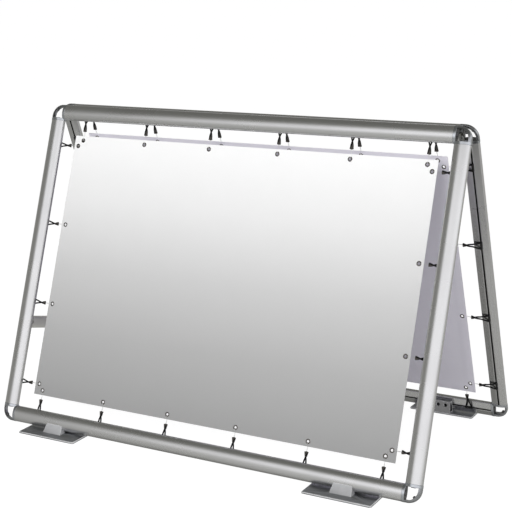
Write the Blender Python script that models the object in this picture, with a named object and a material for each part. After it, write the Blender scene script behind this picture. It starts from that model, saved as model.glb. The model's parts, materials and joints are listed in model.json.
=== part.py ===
"""A-frame banner stand: two leaning aluminium frames hinged at the top, each with a banner laced into it.

Metres, +Z up. The origin is on the floor, midway between the frames. The front frame faces -Y.
A frame is drawn in its own axes: +X to its right, +Y inwards to the other frame, +Z up its slope,
with the origin on the centre line of its top rail. The back frame is the same frame turned half round.
"""

from math import acos, atan2, copysign, cos, pi, radians, sin, tan

import bmesh
import bpy
from mathutils import Matrix, Vector

# Frame: overall sizes between the centre lines of its rails
frame_width = 1.665
slope_height = 1.180
lean = radians(19.9)
top_rail_spread = 0.062
rail_above_floor = 0.041

# Rail: a domed outer face, a flat inner face and a slot along it
rail_width = 0.059
dome_height = 0.0155
flat_depth = 0.0135
rail_corner = 0.004
inner_face_level = 0.013
inner_face_drop = 0.0035
rail_wall = 0.0022
slot_mouth = 0.006
slot_lip = 0.0022
slot_room_width = 0.014
slot_room_depth = 0.0068
dome_segments = 14

# Corner connector: an elbow with a collar and a spigot for each rail and an open quarter-round strap
collar_proud = 0.0008
collar_over_rail = 0.004
collar_past_corner = 0.006
strap_proud = 0.0005
strap_thickness = 0.0095
strap_turn_radius = 0.046
strap_inward = 0.0085
strap_chamfer = 0.002
strap_segments = 10
strap_dome_segments = 5
spigot_length = 0.045
spigot_clearance = 0.0005
boss_width = 0.012
boss_tip_width = 0.0072
boss_height = 0.006
boss_outward = 0.0078
boss_inward = 0.0025

# Banner sheet with crimped eyelets, inside the rails' centre lines by the two gaps
banner_side_gap = 0.0825
banner_end_gap = 0.0845
banner_thickness = 0.0012
banner_behind_rail = 0.0211
eyelet_inset = 0.0175
eyelet_from_corner_across = 0.0375
eyelet_from_corner_down = 0.0405
eyelets_across = 6
eyelets_down = 4
eyelet_radius = 0.009
eyelet_hole_radius = 0.0045
eyelet_thickness = 0.0026
eyelet_sides = 10

# Bungee tie: slot plug, crossed elastic loop and wire hook
plug_length = 0.031
plug_cap_width = 0.009
plug_cap_top_width = 0.0052
plug_cap_height = 0.005
plug_head_width = 0.0115
plug_head_height = 0.003
elastic_radius = 0.0022
elastic_crossing = 0.68
hook_length = 0.036
elastic_spread_at_plug = 0.0125
elastic_spread_at_hook = 0.0040
hook_block_width = 0.0142
hook_block_tip_width = 0.0064
hook_block_height = 0.0183
hook_block_past_loop = 0.0012
hook_block_thickness = 0.0042
wire_radius = 0.0010
hook_rise = 0.010
hook_nub = 0.0010

# Hinges between the top rails
hinge_below_rail_centre = 0.020
hinge_past_rail_end = 0.012
hinge_length = 0.046
hinge_leaf_thickness = 0.004
hinge_leaf_height = 0.030
hinge_pin_radius = 0.0028
hinge_knuckle_wall = 0.0042
hinge_knuckle_foot = 0.021
hinge_middle_knuckle = 0.018
hinge_pin_head = 0.0025
hinge_pin_head_radius = 0.0053

# Feet: a floor plate with a wedge under the dome and a hollow bracket on the slot side
foot_from_left_upright = 0.2275
foot_from_right_upright = 0.2405
foot_length = 0.254
foot_outward = 0.076
foot_inward = 0.038
foot_thickness = 0.006
foot_corner = 0.006
foot_corner_segments = 3
foot_chamfer = 0.0015
wedge_base_width = 0.080
wedge_top_width = 0.068
wedge_outward = 0.040
wedge_height = 0.035
wedge_land = 0.0015
wedge_heel = 0.0022
bracket_length = 0.096
bracket_height = 0.052
bracket_wall = 0.004
bracket_aside = 0.010
bracket_hole_radius = 0.007
bracket_hole_pitch = 0.030
bracket_holes = 3
bracket_hole_height = 0.037

# Folding stay on the left: two arms between brackets on the uprights, lapped at the elbow
stay_behind_rail = 0.044
stay_front_pivot_down = 0.8265
stay_rear_pivot_down = 0.9944
stay_height = 0.047
stay_thickness = 0.012
stay_edge = 0.0036
stay_side_round = 0.008
stay_end = 0.015
stay_end_chamfer = 0.004
stay_lap_gap = 0.003
stay_pin_radius = 0.004
stay_pin_head_radius = 0.008
stay_pin_head = 0.002
stay_plate_thickness = 0.004
stay_plate_height = 0.044
stay_plate_width = 0.046
stay_lug_foot = 0.035
stay_lug_thickness = 0.005
elbow_washer_radius = 0.010
elbow_washer_gap = 0.0008
fold_limit = radians(37.0)

# Clearances
seat_gap = 0.0003
pin_clearance = 0.00035
overlap = 0.0005

# How finely round forms are drawn
round_sides = 12
arm_round_segments = 4
half_round_segments = 6
halvings = 60
smooth_angle = radians(35)

banner_width = frame_width - 2 * banner_side_gap
banner_height = slope_height - 2 * banner_end_gap
half_width = rail_width / 2
frame_height = slope_height * cos(lean)
top_centre_height = frame_height + rail_above_floor
hinge_height = top_centre_height - hinge_below_rail_centre
hinge_inward = top_rail_spread / 2 * cos(lean) + hinge_below_rail_centre * sin(lean)
hinge_down = hinge_below_rail_centre * cos(lean) - top_rail_spread / 2 * sin(lean)
rail_end_gap = half_width + collar_over_rail + seat_gap


def clear_scene():
    for old in list(bpy.data.objects):
        bpy.data.objects.remove(old)


def finish(name, colour, metallic, roughness):
    """A plain Principled material for one sub-part."""
    made = bpy.data.materials.new(name)
    made.use_nodes = True
    shader = made.node_tree.nodes["Principled BSDF"]
    shader.inputs["Base Color"].default_value = (*colour, 1.0)
    shader.inputs["Metallic"].default_value = metallic
    shader.inputs["Roughness"].default_value = roughness
    return made


def node(name, mesh, parent, location, turn, look):
    """One named object of the assembly."""
    made = bpy.data.objects.new(name, mesh)
    bpy.context.scene.collection.objects.link(made)
    made.parent = parent
    made.location = location
    made.rotation_euler = turn
    colour, metallic, roughness = look
    made.material_slots[0].link = "OBJECT"
    made.material_slots[0].material = finish(name + "_finish", colour, metallic, roughness)
    return made


def mesh_from(bm):
    """A closed mesh with its faces outwards, round stretches smooth and one material slot."""
    bmesh.ops.remove_doubles(bm, verts=bm.verts, dist=1e-6)
    bmesh.ops.recalc_face_normals(bm, faces=bm.faces)
    mesh = bpy.data.meshes.new("shape")
    bm.to_mesh(mesh)
    bm.free()
    mesh.shade_smooth()
    mesh.set_sharp_from_angle(angle=smooth_angle)
    mesh.materials.append(None)
    return mesh


def extruded(outline, low, high, axis="Z", hole=None):
    """An outline of 2-D points carried from low to high along an axis, with an optional hole through it.

    The points are (x, y) for Z, (y, z) for X and (x, z) for Y.
    """
    bm = bmesh.new()
    lift = {
        "X": lambda p, h: (h, p[0], p[1]),
        "Y": lambda p, h: (p[0], h, p[1]),
        "Z": lambda p, h: (p[0], p[1], h),
    }
    loops = []
    for points in [outline] + ([hole] if hole else []):
        low_ring = [bm.verts.new(lift[axis](p, low)) for p in points]
        high_ring = [bm.verts.new(lift[axis](p, high)) for p in points]
        loops.append((low_ring, high_ring))
        for i in range(len(points)):
            k = (i + 1) % len(points)
            bm.faces.new((low_ring[i], low_ring[k], high_ring[k], high_ring[i]))
    for end in (0, 1):
        if hole:
            edges = []
            for rings in loops:
                ring = rings[end]
                edges += [bm.edges.get((ring[i], ring[(i + 1) % len(ring)])) for i in range(len(ring))]
            bmesh.ops.triangle_fill(bm, use_beauty=True, edges=edges)
        else:
            bm.faces.new(loops[0][end])
    return mesh_from(bm)


def lofted(rings_of_points):
    """A closed solid through rings of as many 3-D points each, flat at both ends."""
    bm = bmesh.new()
    rings = [[bm.verts.new(p) for p in ring] for ring in rings_of_points]
    count = len(rings[0])
    for low_ring, high_ring in zip(rings, rings[1:]):
        for i in range(count):
            k = (i + 1) % count
            bm.faces.new((low_ring[i], low_ring[k], high_ring[k], high_ring[i]))
    bm.faces.new(rings[0])
    bm.faces.new(rings[-1])
    return mesh_from(bm)


def disc(radius, low, high, centre=(0.0, 0.0), axis="X", sides=round_sides):
    """A round bar along an axis, its sides' corners on the radius."""
    ring = [
        (centre[0] + radius * cos(2 * pi * i / sides), centre[1] + radius * sin(2 * pi * i / sides))
        for i in range(sides)
    ]
    return extruded(ring, low, high, axis)


def tube(points, radius, normal, sides=6):
    """A round bar along a line bent in the plane that faces the normal, with square ends and mitred bends."""
    path = [Vector(p) for p in points]
    rings = []
    for i, here in enumerate(path):
        before = (here - path[i - 1]).normalized() if i else (path[1] - here).normalized()
        after = (path[i + 1] - here).normalized() if i < len(path) - 1 else before
        along = (before + after).normalized()
        side = (normal - along * normal.dot(along)).normalized()
        other = along.cross(side) / along.dot(before)
        turns = [2 * pi * (k + 0.5) / sides for k in range(sides)]
        rings.append([here + side * (radius * cos(t)) + other * (radius * sin(t)) for t in turns])
    return lofted(rings)


def combined(base, tools, operation):
    """The base mesh with each tool mesh added to it or cut from it, as one plain mesh."""
    work = bpy.data.objects.new("work", base)
    bpy.context.scene.collection.objects.link(work)
    helpers = []
    for tool in tools:
        helper = bpy.data.objects.new("helper", tool)
        bpy.context.scene.collection.objects.link(helper)
        helper.hide_render = True
        helper.display_type = "WIRE"
        helpers.append(helper)
        step = work.modifiers.new("step", "BOOLEAN")
        step.operation = operation
        step.solver = "EXACT"
        step.object = helper
    bpy.context.view_layer.update()
    graph = bpy.context.evaluated_depsgraph_get()
    made = bpy.data.meshes.new_from_object(work.evaluated_get(graph))
    for used in [work] + helpers:
        bpy.data.objects.remove(used)
    made.materials.clear()
    made.materials.append(None)
    made.shade_smooth()
    made.set_sharp_from_angle(angle=smooth_angle)
    return made


def fused(parts):
    return combined(parts[0], parts[1:], "UNION")


def cut(base, tools):
    return combined(base, tools, "DIFFERENCE")


def rail_side(grow):
    """The rail's outline from its dome's right end over the dome to its left end, grown outwards."""
    wide, high = half_width + grow, dome_height + grow
    turns = [pi * i / dome_segments for i in range(dome_segments + 1)]
    return [(wide * cos(t), -high * sin(t)) for t in turns]


def inner_face(across):
    """The rail's inner face at a distance from its middle: level beside the slot, then sloping back."""
    level = inner_face_level / 2
    share = (across - level) / (half_width - rail_corner - level)
    return flat_depth - inner_face_drop * max(share, 0.0)


def rail_outline(grow=0.0):
    """The closed outer outline without its slot: dome to -Y, inner face to +Y."""
    side, level = half_width + grow, inner_face_level / 2
    edge = inner_face(half_width - rail_corner) + grow
    half = [(side, edge - rail_corner), (side - rail_corner, edge), (level, flat_depth + grow)]
    return rail_side(grow) + [(-x, y) for x, y in half] + half[::-1]


def slotted_outline():
    """The outer outline with the slot let into the level middle of its inner face."""
    mouth, room = slot_mouth / 2, slot_room_width / 2
    under_lip = flat_depth - slot_lip
    floor = under_lip - slot_room_depth
    slot = [(-mouth, flat_depth), (-mouth, under_lip), (-room, under_lip), (-room, floor), (room, floor),
            (room, under_lip), (mouth, under_lip), (mouth, flat_depth)]
    outline = rail_outline()
    return outline[:-3] + slot + outline[-3:]


def chamber_outline():
    """The hollow of the rail, over and on both sides of its slot."""
    beside = slot_room_width / 2 + rail_wall
    over_slot = flat_depth - slot_lip - slot_room_depth - rail_wall
    side = half_width - rail_wall
    edge = inner_face(half_width - rail_corner)
    half = [(side, edge - rail_corner), (side - rail_corner / 2, edge - rail_wall),
            (beside, inner_face(beside) - rail_wall), (beside, over_slot)]
    return rail_side(-rail_wall) + [(-x, y) for x, y in half] + half[::-1]


def rail_mesh(length):
    return extruded(slotted_outline(), -length / 2, length / 2, "Z", hole=chamber_outline())


def spigot_outline():
    """A tongue that fills the chamber's dome down to the slot's room, but for the dome's narrow ends."""
    over_slot = flat_depth - slot_lip - slot_room_depth - rail_wall - spigot_clearance
    dome = rail_side(-rail_wall - spigot_clearance)[2:-2]
    return dome + [(dome[-1][0], over_slot), (dome[0][0], over_slot)]


def strap_mesh():
    """The strap between the collars: the outer side of their dome, straight, a quarter turn and straight."""
    outer, high = half_width + strap_proud, dome_height + strap_proud
    inner = outer - strap_thickness
    first = acos(inner / outer)
    turns = [first * (1 - i / strap_dome_segments) for i in range(strap_dome_segments + 1)]
    dome = [(outer * cos(t), -high * sin(t)) for t in turns]
    section = dome + [(outer, strap_inward - strap_chamfer), (outer - strap_chamfer, strap_inward),
                      (inner, strap_inward)]
    centre = outer - strap_turn_radius
    rings = [[(out, y, -half_width) for out, y in section]]
    for i in range(strap_segments + 1):
        turn = pi / 2 * i / strap_segments
        rings.append([(centre + (out - centre) * cos(turn), y, centre + (out - centre) * sin(turn))
                      for out, y in section])
    rings.append([(-half_width, y, out) for out, y in section])
    return lofted(rings)


def boss_mesh():
    """The lump inside the strap, halfway round it."""
    centre = half_width + strap_proud - strap_turn_radius
    inner = strap_turn_radius - strap_thickness
    low, high = inner - boss_height, inner + overlap * 2
    half, tip = boss_width / 2, boss_tip_width / 2
    corners = [(high, -half), (high, half), (low, tip), (low, -tip)]
    slant = sin(pi / 4)
    outline = [(centre + (out - side) * slant, centre + (out + side) * slant) for out, side in corners]
    return extruded(outline, -boss_outward, boss_inward, "Y")


def corner_mesh():
    """The elbow for the top right corner: its rails leave to -X and -Z."""
    first, last = -half_width - collar_over_rail, -half_width + collar_past_corner
    outline, tongue = rail_outline(collar_proud), spigot_outline()
    upright_collar = extruded(outline, first, last, "Z")
    upright_spigot = extruded(tongue, first - spigot_length, first + overlap, "Z")
    # the rail that leaves to -X has its outline's X turned up the slope
    rail_collar = extruded([(y, x) for x, y in outline], first, last, "X")
    rail_spigot = extruded([(y, x) for x, y in tongue], first - spigot_length, first + overlap, "X")
    return fused([upright_collar, rail_collar, strap_mesh(), boss_mesh(), upright_spigot, rail_spigot])


def eyelet_places():
    """Each eyelet's (x, z) from the banner's centre, with the direction of its tie."""
    across, down = banner_width / 2 - eyelet_inset, banner_height / 2 - eyelet_inset
    first_x = banner_width / 2 - eyelet_from_corner_across
    first_z = banner_height / 2 - eyelet_from_corner_down
    rows = [first_x * (2 * i / (eyelets_across - 1) - 1) for i in range(eyelets_across)]
    columns = [first_z * (2 * i / (eyelets_down - 1) - 1) for i in range(eyelets_down)]
    places = [(x, down, "up") for x in rows] + [(x, -down, "down") for x in rows]
    places += [(across, z, "right") for z in columns] + [(-across, z, "left") for z in columns]
    return places


def half_round(centre, radius):
    """Half a circle's (y, z) points about a centre, from its lowest over its furthest in y to its highest."""
    turns = [pi * i / half_round_segments for i in range(half_round_segments + 1)]
    return [(centre[0] + radius * sin(t), centre[1] - radius * cos(t)) for t in turns]


def joined(meshes):
    """Several meshes as one, left as separate shells, for use as a cutter or an addition."""
    bm = bmesh.new()
    for mesh in meshes:
        bm.from_mesh(mesh)
    return mesh_from(bm)


def banner_mesh():
    """The sheet with a raised ring round each of its eyelet holes."""
    half_x, half_z, half_y = banner_width / 2, banner_height / 2, banner_thickness / 2
    sheet = extruded([(-half_x, -half_z), (half_x, -half_z), (half_x, half_z), (-half_x, half_z)],
                     -half_y, half_y, "Y")
    holes, rings = [], []
    bite = (eyelet_radius + eyelet_hole_radius) / 2
    for x, z, _ in eyelet_places():
        holes.append(disc(bite, -eyelet_thickness, eyelet_thickness, (x, z), "Y", eyelet_sides))
        outer, inner = [
            [(x + r * cos(2 * pi * i / eyelet_sides), z + r * sin(2 * pi * i / eyelet_sides))
             for i in range(eyelet_sides)]
            for r in (eyelet_radius, eyelet_hole_radius)
        ]
        rings.append(extruded(outer, -eyelet_thickness / 2, eyelet_thickness / 2, "Y", hole=inner))
    return combined(cut(sheet, [joined(holes)]), [joined(rings)], "UNION")


def tie_mesh(reach, hook_side):
    """A tie from a slot's mouth, at the origin, up +Z to an eyelet at the given reach.

    hook_side is +1 where the wire runs on the inner side of the sheet, -1 on its outer side.
    """
    face = flat_depth
    mouth = slot_mouth / 2 - seat_gap
    head = plug_head_width / 2
    cap, cap_top = plug_cap_width / 2, plug_cap_top_width / 2
    under_lip = face - slot_lip - seat_gap
    section = [(face + seat_gap, mouth), (face + seat_gap, cap), (face + plug_cap_height, cap_top),
               (face + plug_cap_height, -cap_top), (face + seat_gap, -cap), (face + seat_gap, -mouth),
               (under_lip, -mouth), (under_lip, -head), (under_lip - plug_head_height, -head),
               (under_lip - plug_head_height, head), (under_lip, head), (under_lip, mouth)]
    plug = extruded(section, -plug_length / 2, plug_length / 2, "X")
    # the elastic is one loop: up from the plug, over its own other leg and round the hook
    elastic_length = reach - hook_length
    low_y, high_y = face + plug_cap_height / 2, banner_behind_rail
    middle_y, pass_by = (low_y + high_y) / 2, elastic_radius + seat_gap
    crossing = elastic_length * elastic_crossing
    at_plug, at_hook = elastic_spread_at_plug, elastic_spread_at_hook
    leg = [(-at_plug, low_y, 0.0), (0.0, middle_y - pass_by, crossing), (at_hook, high_y, elastic_length)]
    back = [(-at_hook, high_y, elastic_length), (0.0, middle_y + pass_by, crossing), (at_plug, low_y, 0.0)]
    elastic = tube(leg + back, elastic_radius, Vector((0.0, 1.0, 0.0)))
    # a moulded block that widens towards the hook holds the end of the loop and the foot of the wire
    half_block, half_tip = hook_block_width / 2, hook_block_tip_width / 2
    block_high = elastic_length + hook_block_past_loop
    block_low = block_high - hook_block_height
    block = extruded([(-half_tip, block_low), (half_tip, block_low), (half_block, block_high),
                      (-half_block, block_high)], high_y - hook_block_thickness / 2,
                     high_y + hook_block_thickness / 2, "Y")
    # the wire leaves the elastic, runs beside the sheet and turns through the eyelet against its near side
    beside = hook_side * (eyelet_thickness / 2 + wire_radius + seat_gap)
    through = reach - eyelet_hole_radius * cos(pi / eyelet_sides) + wire_radius + seat_gap
    wire = [(0.0, high_y, elastic_length), (0.0, high_y + beside, elastic_length + hook_rise),
            (0.0, high_y + beside, through), (0.0, high_y - beside - hook_side * hook_nub, through)]
    return fused([plug, elastic, block, tube(wire, wire_radius, Vector((1.0, 0.0, 0.0)))])


def leaf_mesh(knuckles, collar_side):
    """A hinge leaf in frame axes about its middle: a plate on the inner face with knuckles out to the pin.

    knuckles lists the (low, high) stretches along X that carry an eye round the pin. The plate is relieved
    where it runs over the corner's collar, at its end on the collar's side.
    """
    plate_low = flat_depth + seat_gap
    plate_high = plate_low + hinge_leaf_thickness
    centre = -hinge_down
    half, half_height = hinge_length / 2, hinge_leaf_height / 2
    plate = extruded([(plate_low, centre - half_height), (plate_high, centre - half_height),
                      (plate_high, centre + half_height), (plate_low, centre + half_height)],
                     -half, half, "X")
    radius = hinge_pin_radius + hinge_knuckle_wall
    eyes = []
    for low, high in knuckles:
        foot_low, foot_high = centre - hinge_knuckle_foot / 2, centre + hinge_knuckle_foot / 2
        outline = [(plate_high - overlap, foot_low)] + half_round((hinge_inward, centre), radius)
        outline.append((plate_high - overlap, foot_high))
        eyes.append(extruded(outline, low, high, "X"))
    solid = fused([plate] + eyes)
    bore = disc(hinge_pin_radius + pin_clearance, -hinge_length, hinge_length, (hinge_inward, centre), "X")
    collar_start = half - hinge_past_rail_end - collar_over_rail - seat_gap
    over_collar = flat_depth + collar_proud + seat_gap
    ends = sorted((collar_side * collar_start, collar_side * hinge_length))
    relief = extruded([(0.0, -hinge_length), (over_collar, -hinge_length), (over_collar, hinge_length),
                       (0.0, hinge_length)], ends[0], ends[1], "X")
    return cut(solid, [bore, relief])


def hinge_pin_mesh():
    """The pin in hinge axes about its middle: X along it."""
    inner = hinge_length / 2 + seat_gap
    outer = inner + hinge_pin_head
    shank = disc(hinge_pin_radius, -inner - overlap, inner + overlap)
    heads = [disc(hinge_pin_head_radius, -outer, -inner), disc(hinge_pin_head_radius, inner, outer)]
    return fused([shank] + heads)


def rail_point(u, v):
    """A point of the bottom rail's section in foot axes: u down the slope, v out of the frame."""
    return (-u * sin(lean) - v * cos(lean), rail_above_floor - u * cos(lean) + v * sin(lean))


def dome_up_to(height):
    """The dome of the bottom rail with its clearance, in foot axes, from its lower edge up to a height."""
    points = [rail_point(x, -y) for x, y in rail_side(seat_gap)]
    kept = [points[0]]
    for below, above in zip(points, points[1:]):
        if above[1] >= height:
            share = (height - below[1]) / (above[1] - below[1])
            return kept + [(below[0] + (above[0] - below[0]) * share, height)]
        kept.append(above)


def plate_ring(inset, height):
    """The floor plate's rounded outline at a height, drawn in by an inset."""
    half, corner = foot_length / 2 - inset, foot_corner - inset
    low_y, high_y = -foot_outward + inset, foot_inward - inset
    ring = []
    for turn, x, y in ((0, half, high_y), (1, -half, high_y), (2, -half, low_y), (3, half, low_y)):
        centre_x, centre_y = x - copysign(corner, x), y - copysign(corner, y)
        for i in range(foot_corner_segments + 1):
            angle = pi / 2 * (turn + i / foot_corner_segments)
            ring.append((centre_x + corner * cos(angle), centre_y + corner * sin(angle), height))
    return ring


def foot_plate_mesh():
    """The floor plate and its wedge, in foot axes: +Y inwards, +Z up, under the bottom rail's centre."""
    shoulder = foot_thickness - foot_chamfer
    plate = lofted([plate_ring(0.0, 0.0), plate_ring(0.0, shoulder),
                    plate_ring(foot_chamfer, foot_thickness)])
    base = foot_thickness - overlap
    dome = dome_up_to(wedge_height)
    outline = [(-wedge_outward, base), (dome[-1][0] - wedge_land, wedge_height)] + dome[::-1]
    outline.append((dome[0][0] + wedge_heel, base))
    rings = []
    for side in (-1, 1):
        ring = []
        for y, z in outline:
            share = (z - base) / (wedge_height - base)
            ring.append((side * (wedge_base_width + (wedge_top_width - wedge_base_width) * share) / 2, y, z))
        rings.append(ring)
    return fused([plate, lofted(rings)])


def bracket_mesh():
    """The hollow bracket between the rail's flat face and the plate's inner edge, in foot axes."""
    low = foot_thickness + seat_gap
    inner = foot_inward - overlap
    flat = -flat_depth - seat_gap
    lower = rail_point(half_width - rail_corner - seat_gap, flat)
    rise = (bracket_height - lower[1]) / cos(lean)
    upper = (lower[0] + rise * sin(lean), bracket_height)
    outline = [(inner, low), (inner, bracket_height), upper, lower, (lower[0], low)]
    wall = bracket_wall
    slant = wall / cos(lean)
    hollow_high = bracket_height - wall
    hollow_low = low + wall
    upper_y = upper[0] + slant - wall * tan(lean)
    knee = (lower[0] + wall, lower[1] + (wall - slant) / tan(lean))
    knee = (knee[0], max(knee[1], hollow_low + overlap))
    hollow = [(inner - wall, hollow_low), (inner - wall, hollow_high), (upper_y, hollow_high), knee,
              (knee[0], hollow_low)]
    solid = extruded(outline, -bracket_length / 2, bracket_length / 2, "X", hole=hollow)
    holes = []
    cut_from, cut_to = inner - wall - overlap, inner + overlap
    for i in range(bracket_holes):
        x = bracket_hole_pitch * (i - (bracket_holes - 1) / 2)
        holes.append(disc(bracket_hole_radius, cut_from, cut_to, (x, bracket_hole_height), "Y"))
    return cut(solid, [joined(holes)])


def stay_numbers():
    """The stay's pivots in the world's (y, z), its arms' lengths, and how far they turn in a full fold."""
    def pivot(down):
        """A pivot's place behind the front frame's upright, at a distance down its slope."""
        y = -top_rail_spread / 2 - down * sin(lean) + stay_behind_rail * cos(lean)
        return Vector((y, top_centre_height - down * cos(lean) - stay_behind_rail * sin(lean)))

    front, mirrored = pivot(stay_front_pivot_down), pivot(stay_rear_pivot_down)
    rear = Vector((-mirrored.x, mirrored.y))
    hinge = Vector((0.0, hinge_height))
    length = (rear - front).length
    turn = Matrix.Rotation(-fold_limit, 2)
    folded_rear = hinge + turn @ (rear - hinge)
    middle = Vector((-sin(fold_limit / 2), -cos(fold_limit / 2)))

    # the folded elbow lies on the plane midway between the frames, above both pivots
    low, high = 0.0, (front - hinge).dot(middle)
    for _ in range(halvings):
        trial = (low + high) / 2
        spot = hinge + middle * trial
        if (spot - front).length + (spot - folded_rear).length > length:
            low = trial
        else:
            high = trial
    folded_elbow = hinge + middle * low
    front_length = (folded_elbow - front).length
    rest = atan2(rear.y - front.y, rear.x - front.x)
    front_turn = atan2(folded_elbow.y - front.y, folded_elbow.x - front.x) - rest
    elbow_on_back = hinge + turn.transposed() @ (folded_elbow - hinge)
    rear_turn = atan2(front.y - rear.y, front.x - rear.x) - atan2(
        elbow_on_back.y - rear.y, elbow_on_back.x - rear.x)
    return {"front": front, "rear": rear, "length": length, "front_length": front_length, "rest": rest,
            "front_turn": front_turn, "rear_turn": rear_turn % (2 * pi)}


def arm_mesh(length, elbow_washer):
    """One arm of the stay along +Y from its pivot, its long edges rounded to +X, with its eye bored."""
    half, thick = stay_height / 2, stay_thickness
    turns = [pi / 2 * i / arm_round_segments for i in range(arm_round_segments + 1)]
    side = [(half - stay_side_round * (1 - cos(t)), stay_edge + (thick - stay_edge) * sin(t)) for t in turns]
    section = [(half, 0.0)] + side + [(-z, x) for z, x in side[::-1]] + [(-half, 0.0)]
    first, last = -stay_end, length + stay_end
    narrow = (half - stay_end_chamfer) / half
    stops = [(first, narrow), (first + stay_end_chamfer, 1.0), (last - stay_end_chamfer, 1.0), (last, narrow)]
    solid = lofted([[(x - thick / 2, y, z * share) for z, x in section] for y, share in stops])
    if elbow_washer:
        face = -thick / 2
        washer_face = face - stay_lap_gap + elbow_washer_gap
        solid = fused([solid, disc(elbow_washer_radius, washer_face, face + overlap, (length, 0.0), "X")])
    return cut(solid, [disc(stay_pin_radius + pin_clearance, -thick, thick, (0.0, 0.0), "X")])


def stay_bracket_mesh(side):
    """The plate, lug and pin that carry an arm, in frame axes about the upright's centre line.

    side is the X side of the arm on which the lug stands.
    """
    low = flat_depth + seat_gap
    plate = extruded([(low, -stay_plate_height / 2), (low + stay_plate_thickness, -stay_plate_height / 2),
                      (low + stay_plate_thickness, stay_plate_height / 2), (low, stay_plate_height / 2)],
                     -stay_plate_width / 2, stay_plate_width / 2, "X")
    arm_near = stay_lap_gap / 2
    arm_far = arm_near + stay_thickness
    lug_near, lug_far = arm_far + overlap, arm_far + overlap + stay_lug_thickness
    foot = stay_lug_foot / 2
    outline = [(low + overlap, -foot)] + half_round((stay_behind_rail, 0.0), stay_pin_head_radius + seat_gap)
    outline.append((low + overlap, foot))
    ends = sorted((side * lug_near, side * lug_far))
    lug = extruded(outline, ends[0], ends[1], "X")
    pin_ends = sorted((side * (lug_near + overlap), side * (arm_near - overlap - stay_pin_head / 2)))
    pin = disc(stay_pin_radius, pin_ends[0], pin_ends[1], (stay_behind_rail, 0.0))
    head_ends = sorted((side * (arm_near - overlap), side * (arm_near - overlap - stay_pin_head)))
    head = disc(stay_pin_head_radius, head_ends[0], head_ends[1], (stay_behind_rail, 0.0))
    return fused([plate, lug, pin, head])


aluminium = ((0.72, 0.73, 0.76), 1.0, 0.32)
corner_metal = ((0.22, 0.23, 0.26), 0.9, 0.35)
foot_steel = ((0.10, 0.11, 0.12), 0.8, 0.5)
wedge_alloy = ((0.45, 0.46, 0.49), 0.9, 0.45)
hinge_steel = ((0.25, 0.25, 0.24), 0.9, 0.45)
banner_vinyl = ((0.75, 0.75, 0.76), 0.0, 0.6)
tie_rubber = ((0.02, 0.02, 0.02), 0.0, 0.7)
stay_alloy = ((0.42, 0.43, 0.41), 0.9, 0.4)


def frame_axes(name, half_turn):
    """An empty on the hinge's axis whose axes are the frame's own."""
    made = bpy.data.objects.new(name, None)
    bpy.context.scene.collection.objects.link(made)
    made.matrix_world = (
        Matrix.Rotation(half_turn, 4, "Z")
        @ Matrix.Translation((0.0, 0.0, hinge_height))
        @ Matrix.Rotation(-lean, 4, "X")
    )
    return made


def from_hinge(x, y, z):
    """A place in frame axes, measured from the empty on the hinge's axis."""
    return Vector((x, y - hinge_inward, z + hinge_down))


def build_frame(which, axes, meshes, hook_side, world_left):
    """The rails, corners, banner, ties, feet and hinge leaves of one frame.

    world_left is the sign of the frame's own X that points to the left of the stand.
    """
    def side_name(sign):
        return "left" if sign == world_left else "right"

    for row, z in (("top", 0.0), ("bottom", -slope_height)):
        node(f"{which}_{row}_rail", meshes["level_rail"], axes, from_hinge(0.0, 0.0, z), (0.0, pi / 2, 0.0),
             aluminium)
    for sign in (-1, 1):
        x = sign * frame_width / 2
        node(f"{which}_{side_name(sign)}_upright", meshes["upright"], axes,
             from_hinge(x, 0.0, -slope_height / 2), (0.0, 0.0, 0.0), aluminium)
        for row, z, turn in (("top", 0.0, 0), ("bottom", -slope_height, 1)):
            quarter = turn if sign > 0 else 3 - turn
            node(f"{which}_{row}_{side_name(sign)}_corner", meshes["corner"], axes, from_hinge(x, 0.0, z),
                 (0.0, quarter * pi / 2, 0.0), corner_metal)
        drop = Matrix.Rotation(lean, 3, "X") @ Vector((0.0, 0.0, -rail_above_floor))
        from_upright = foot_from_right_upright if sign > 0 else foot_from_left_upright
        under = from_hinge(sign * (frame_width / 2 - from_upright), drop.y, drop.z - slope_height)
        beside = under + Vector((bracket_aside, 0.0, 0.0))
        node(f"{which}_{side_name(sign)}_foot", meshes["foot"], axes, under, (lean, 0.0, 0.0), foot_steel)
        node(f"{which}_{side_name(sign)}_foot_bracket", meshes["bracket"], axes, beside, (lean, 0.0, 0.0),
             wedge_alloy)
    node(f"{which}_banner", meshes["banner"], axes, from_hinge(0.0, banner_behind_rail, -slope_height / 2),
         (0.0, 0.0, 0.0), banner_vinyl)
    places = [p for p in eyelet_places() if p[2] in ("up", "down")]
    for count, (x, _, way) in enumerate(sorted(places, key=lambda p: (p[2] == "down", p[0] * -world_left))):
        row, z, turn = ("top", 0.0, pi) if way == "up" else ("bottom", -slope_height, 0.0)
        place = count % eyelets_across + 1
        node(f"{which}_{row}_tie_{place}", meshes[f"tie_{hook_side}"], axes, from_hinge(x, 0.0, z),
             (0.0, turn, 0.0), tie_rubber)


def build_hinges(front, back):
    """A leaf on each frame at both ends of the top rails, and the pin between them."""
    end, middle = hinge_length / 2, hinge_middle_knuckle / 2
    outer_eyes = [(-end, -middle - seat_gap), (middle + seat_gap, end)]
    pin = hinge_pin_mesh()
    place = frame_width / 2 - half_width + hinge_past_rail_end - hinge_length / 2
    for name, side in (("right", 1), ("left", -1)):
        x = side * place
        node(f"{name}_hinge_front_leaf", leaf_mesh(outer_eyes, side), front, from_hinge(x, 0.0, 0.0),
             (0.0, 0.0, 0.0), hinge_steel)
        node(f"{name}_hinge_back_leaf", leaf_mesh([(-middle, middle)], -side), back, from_hinge(-x, 0.0, 0.0),
             (0.0, 0.0, 0.0), hinge_steel)
        node(f"{name}_hinge_pin", pin, front, (x, 0.0, 0.0), (0.0, 0.0, 0.0), hinge_steel)


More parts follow.
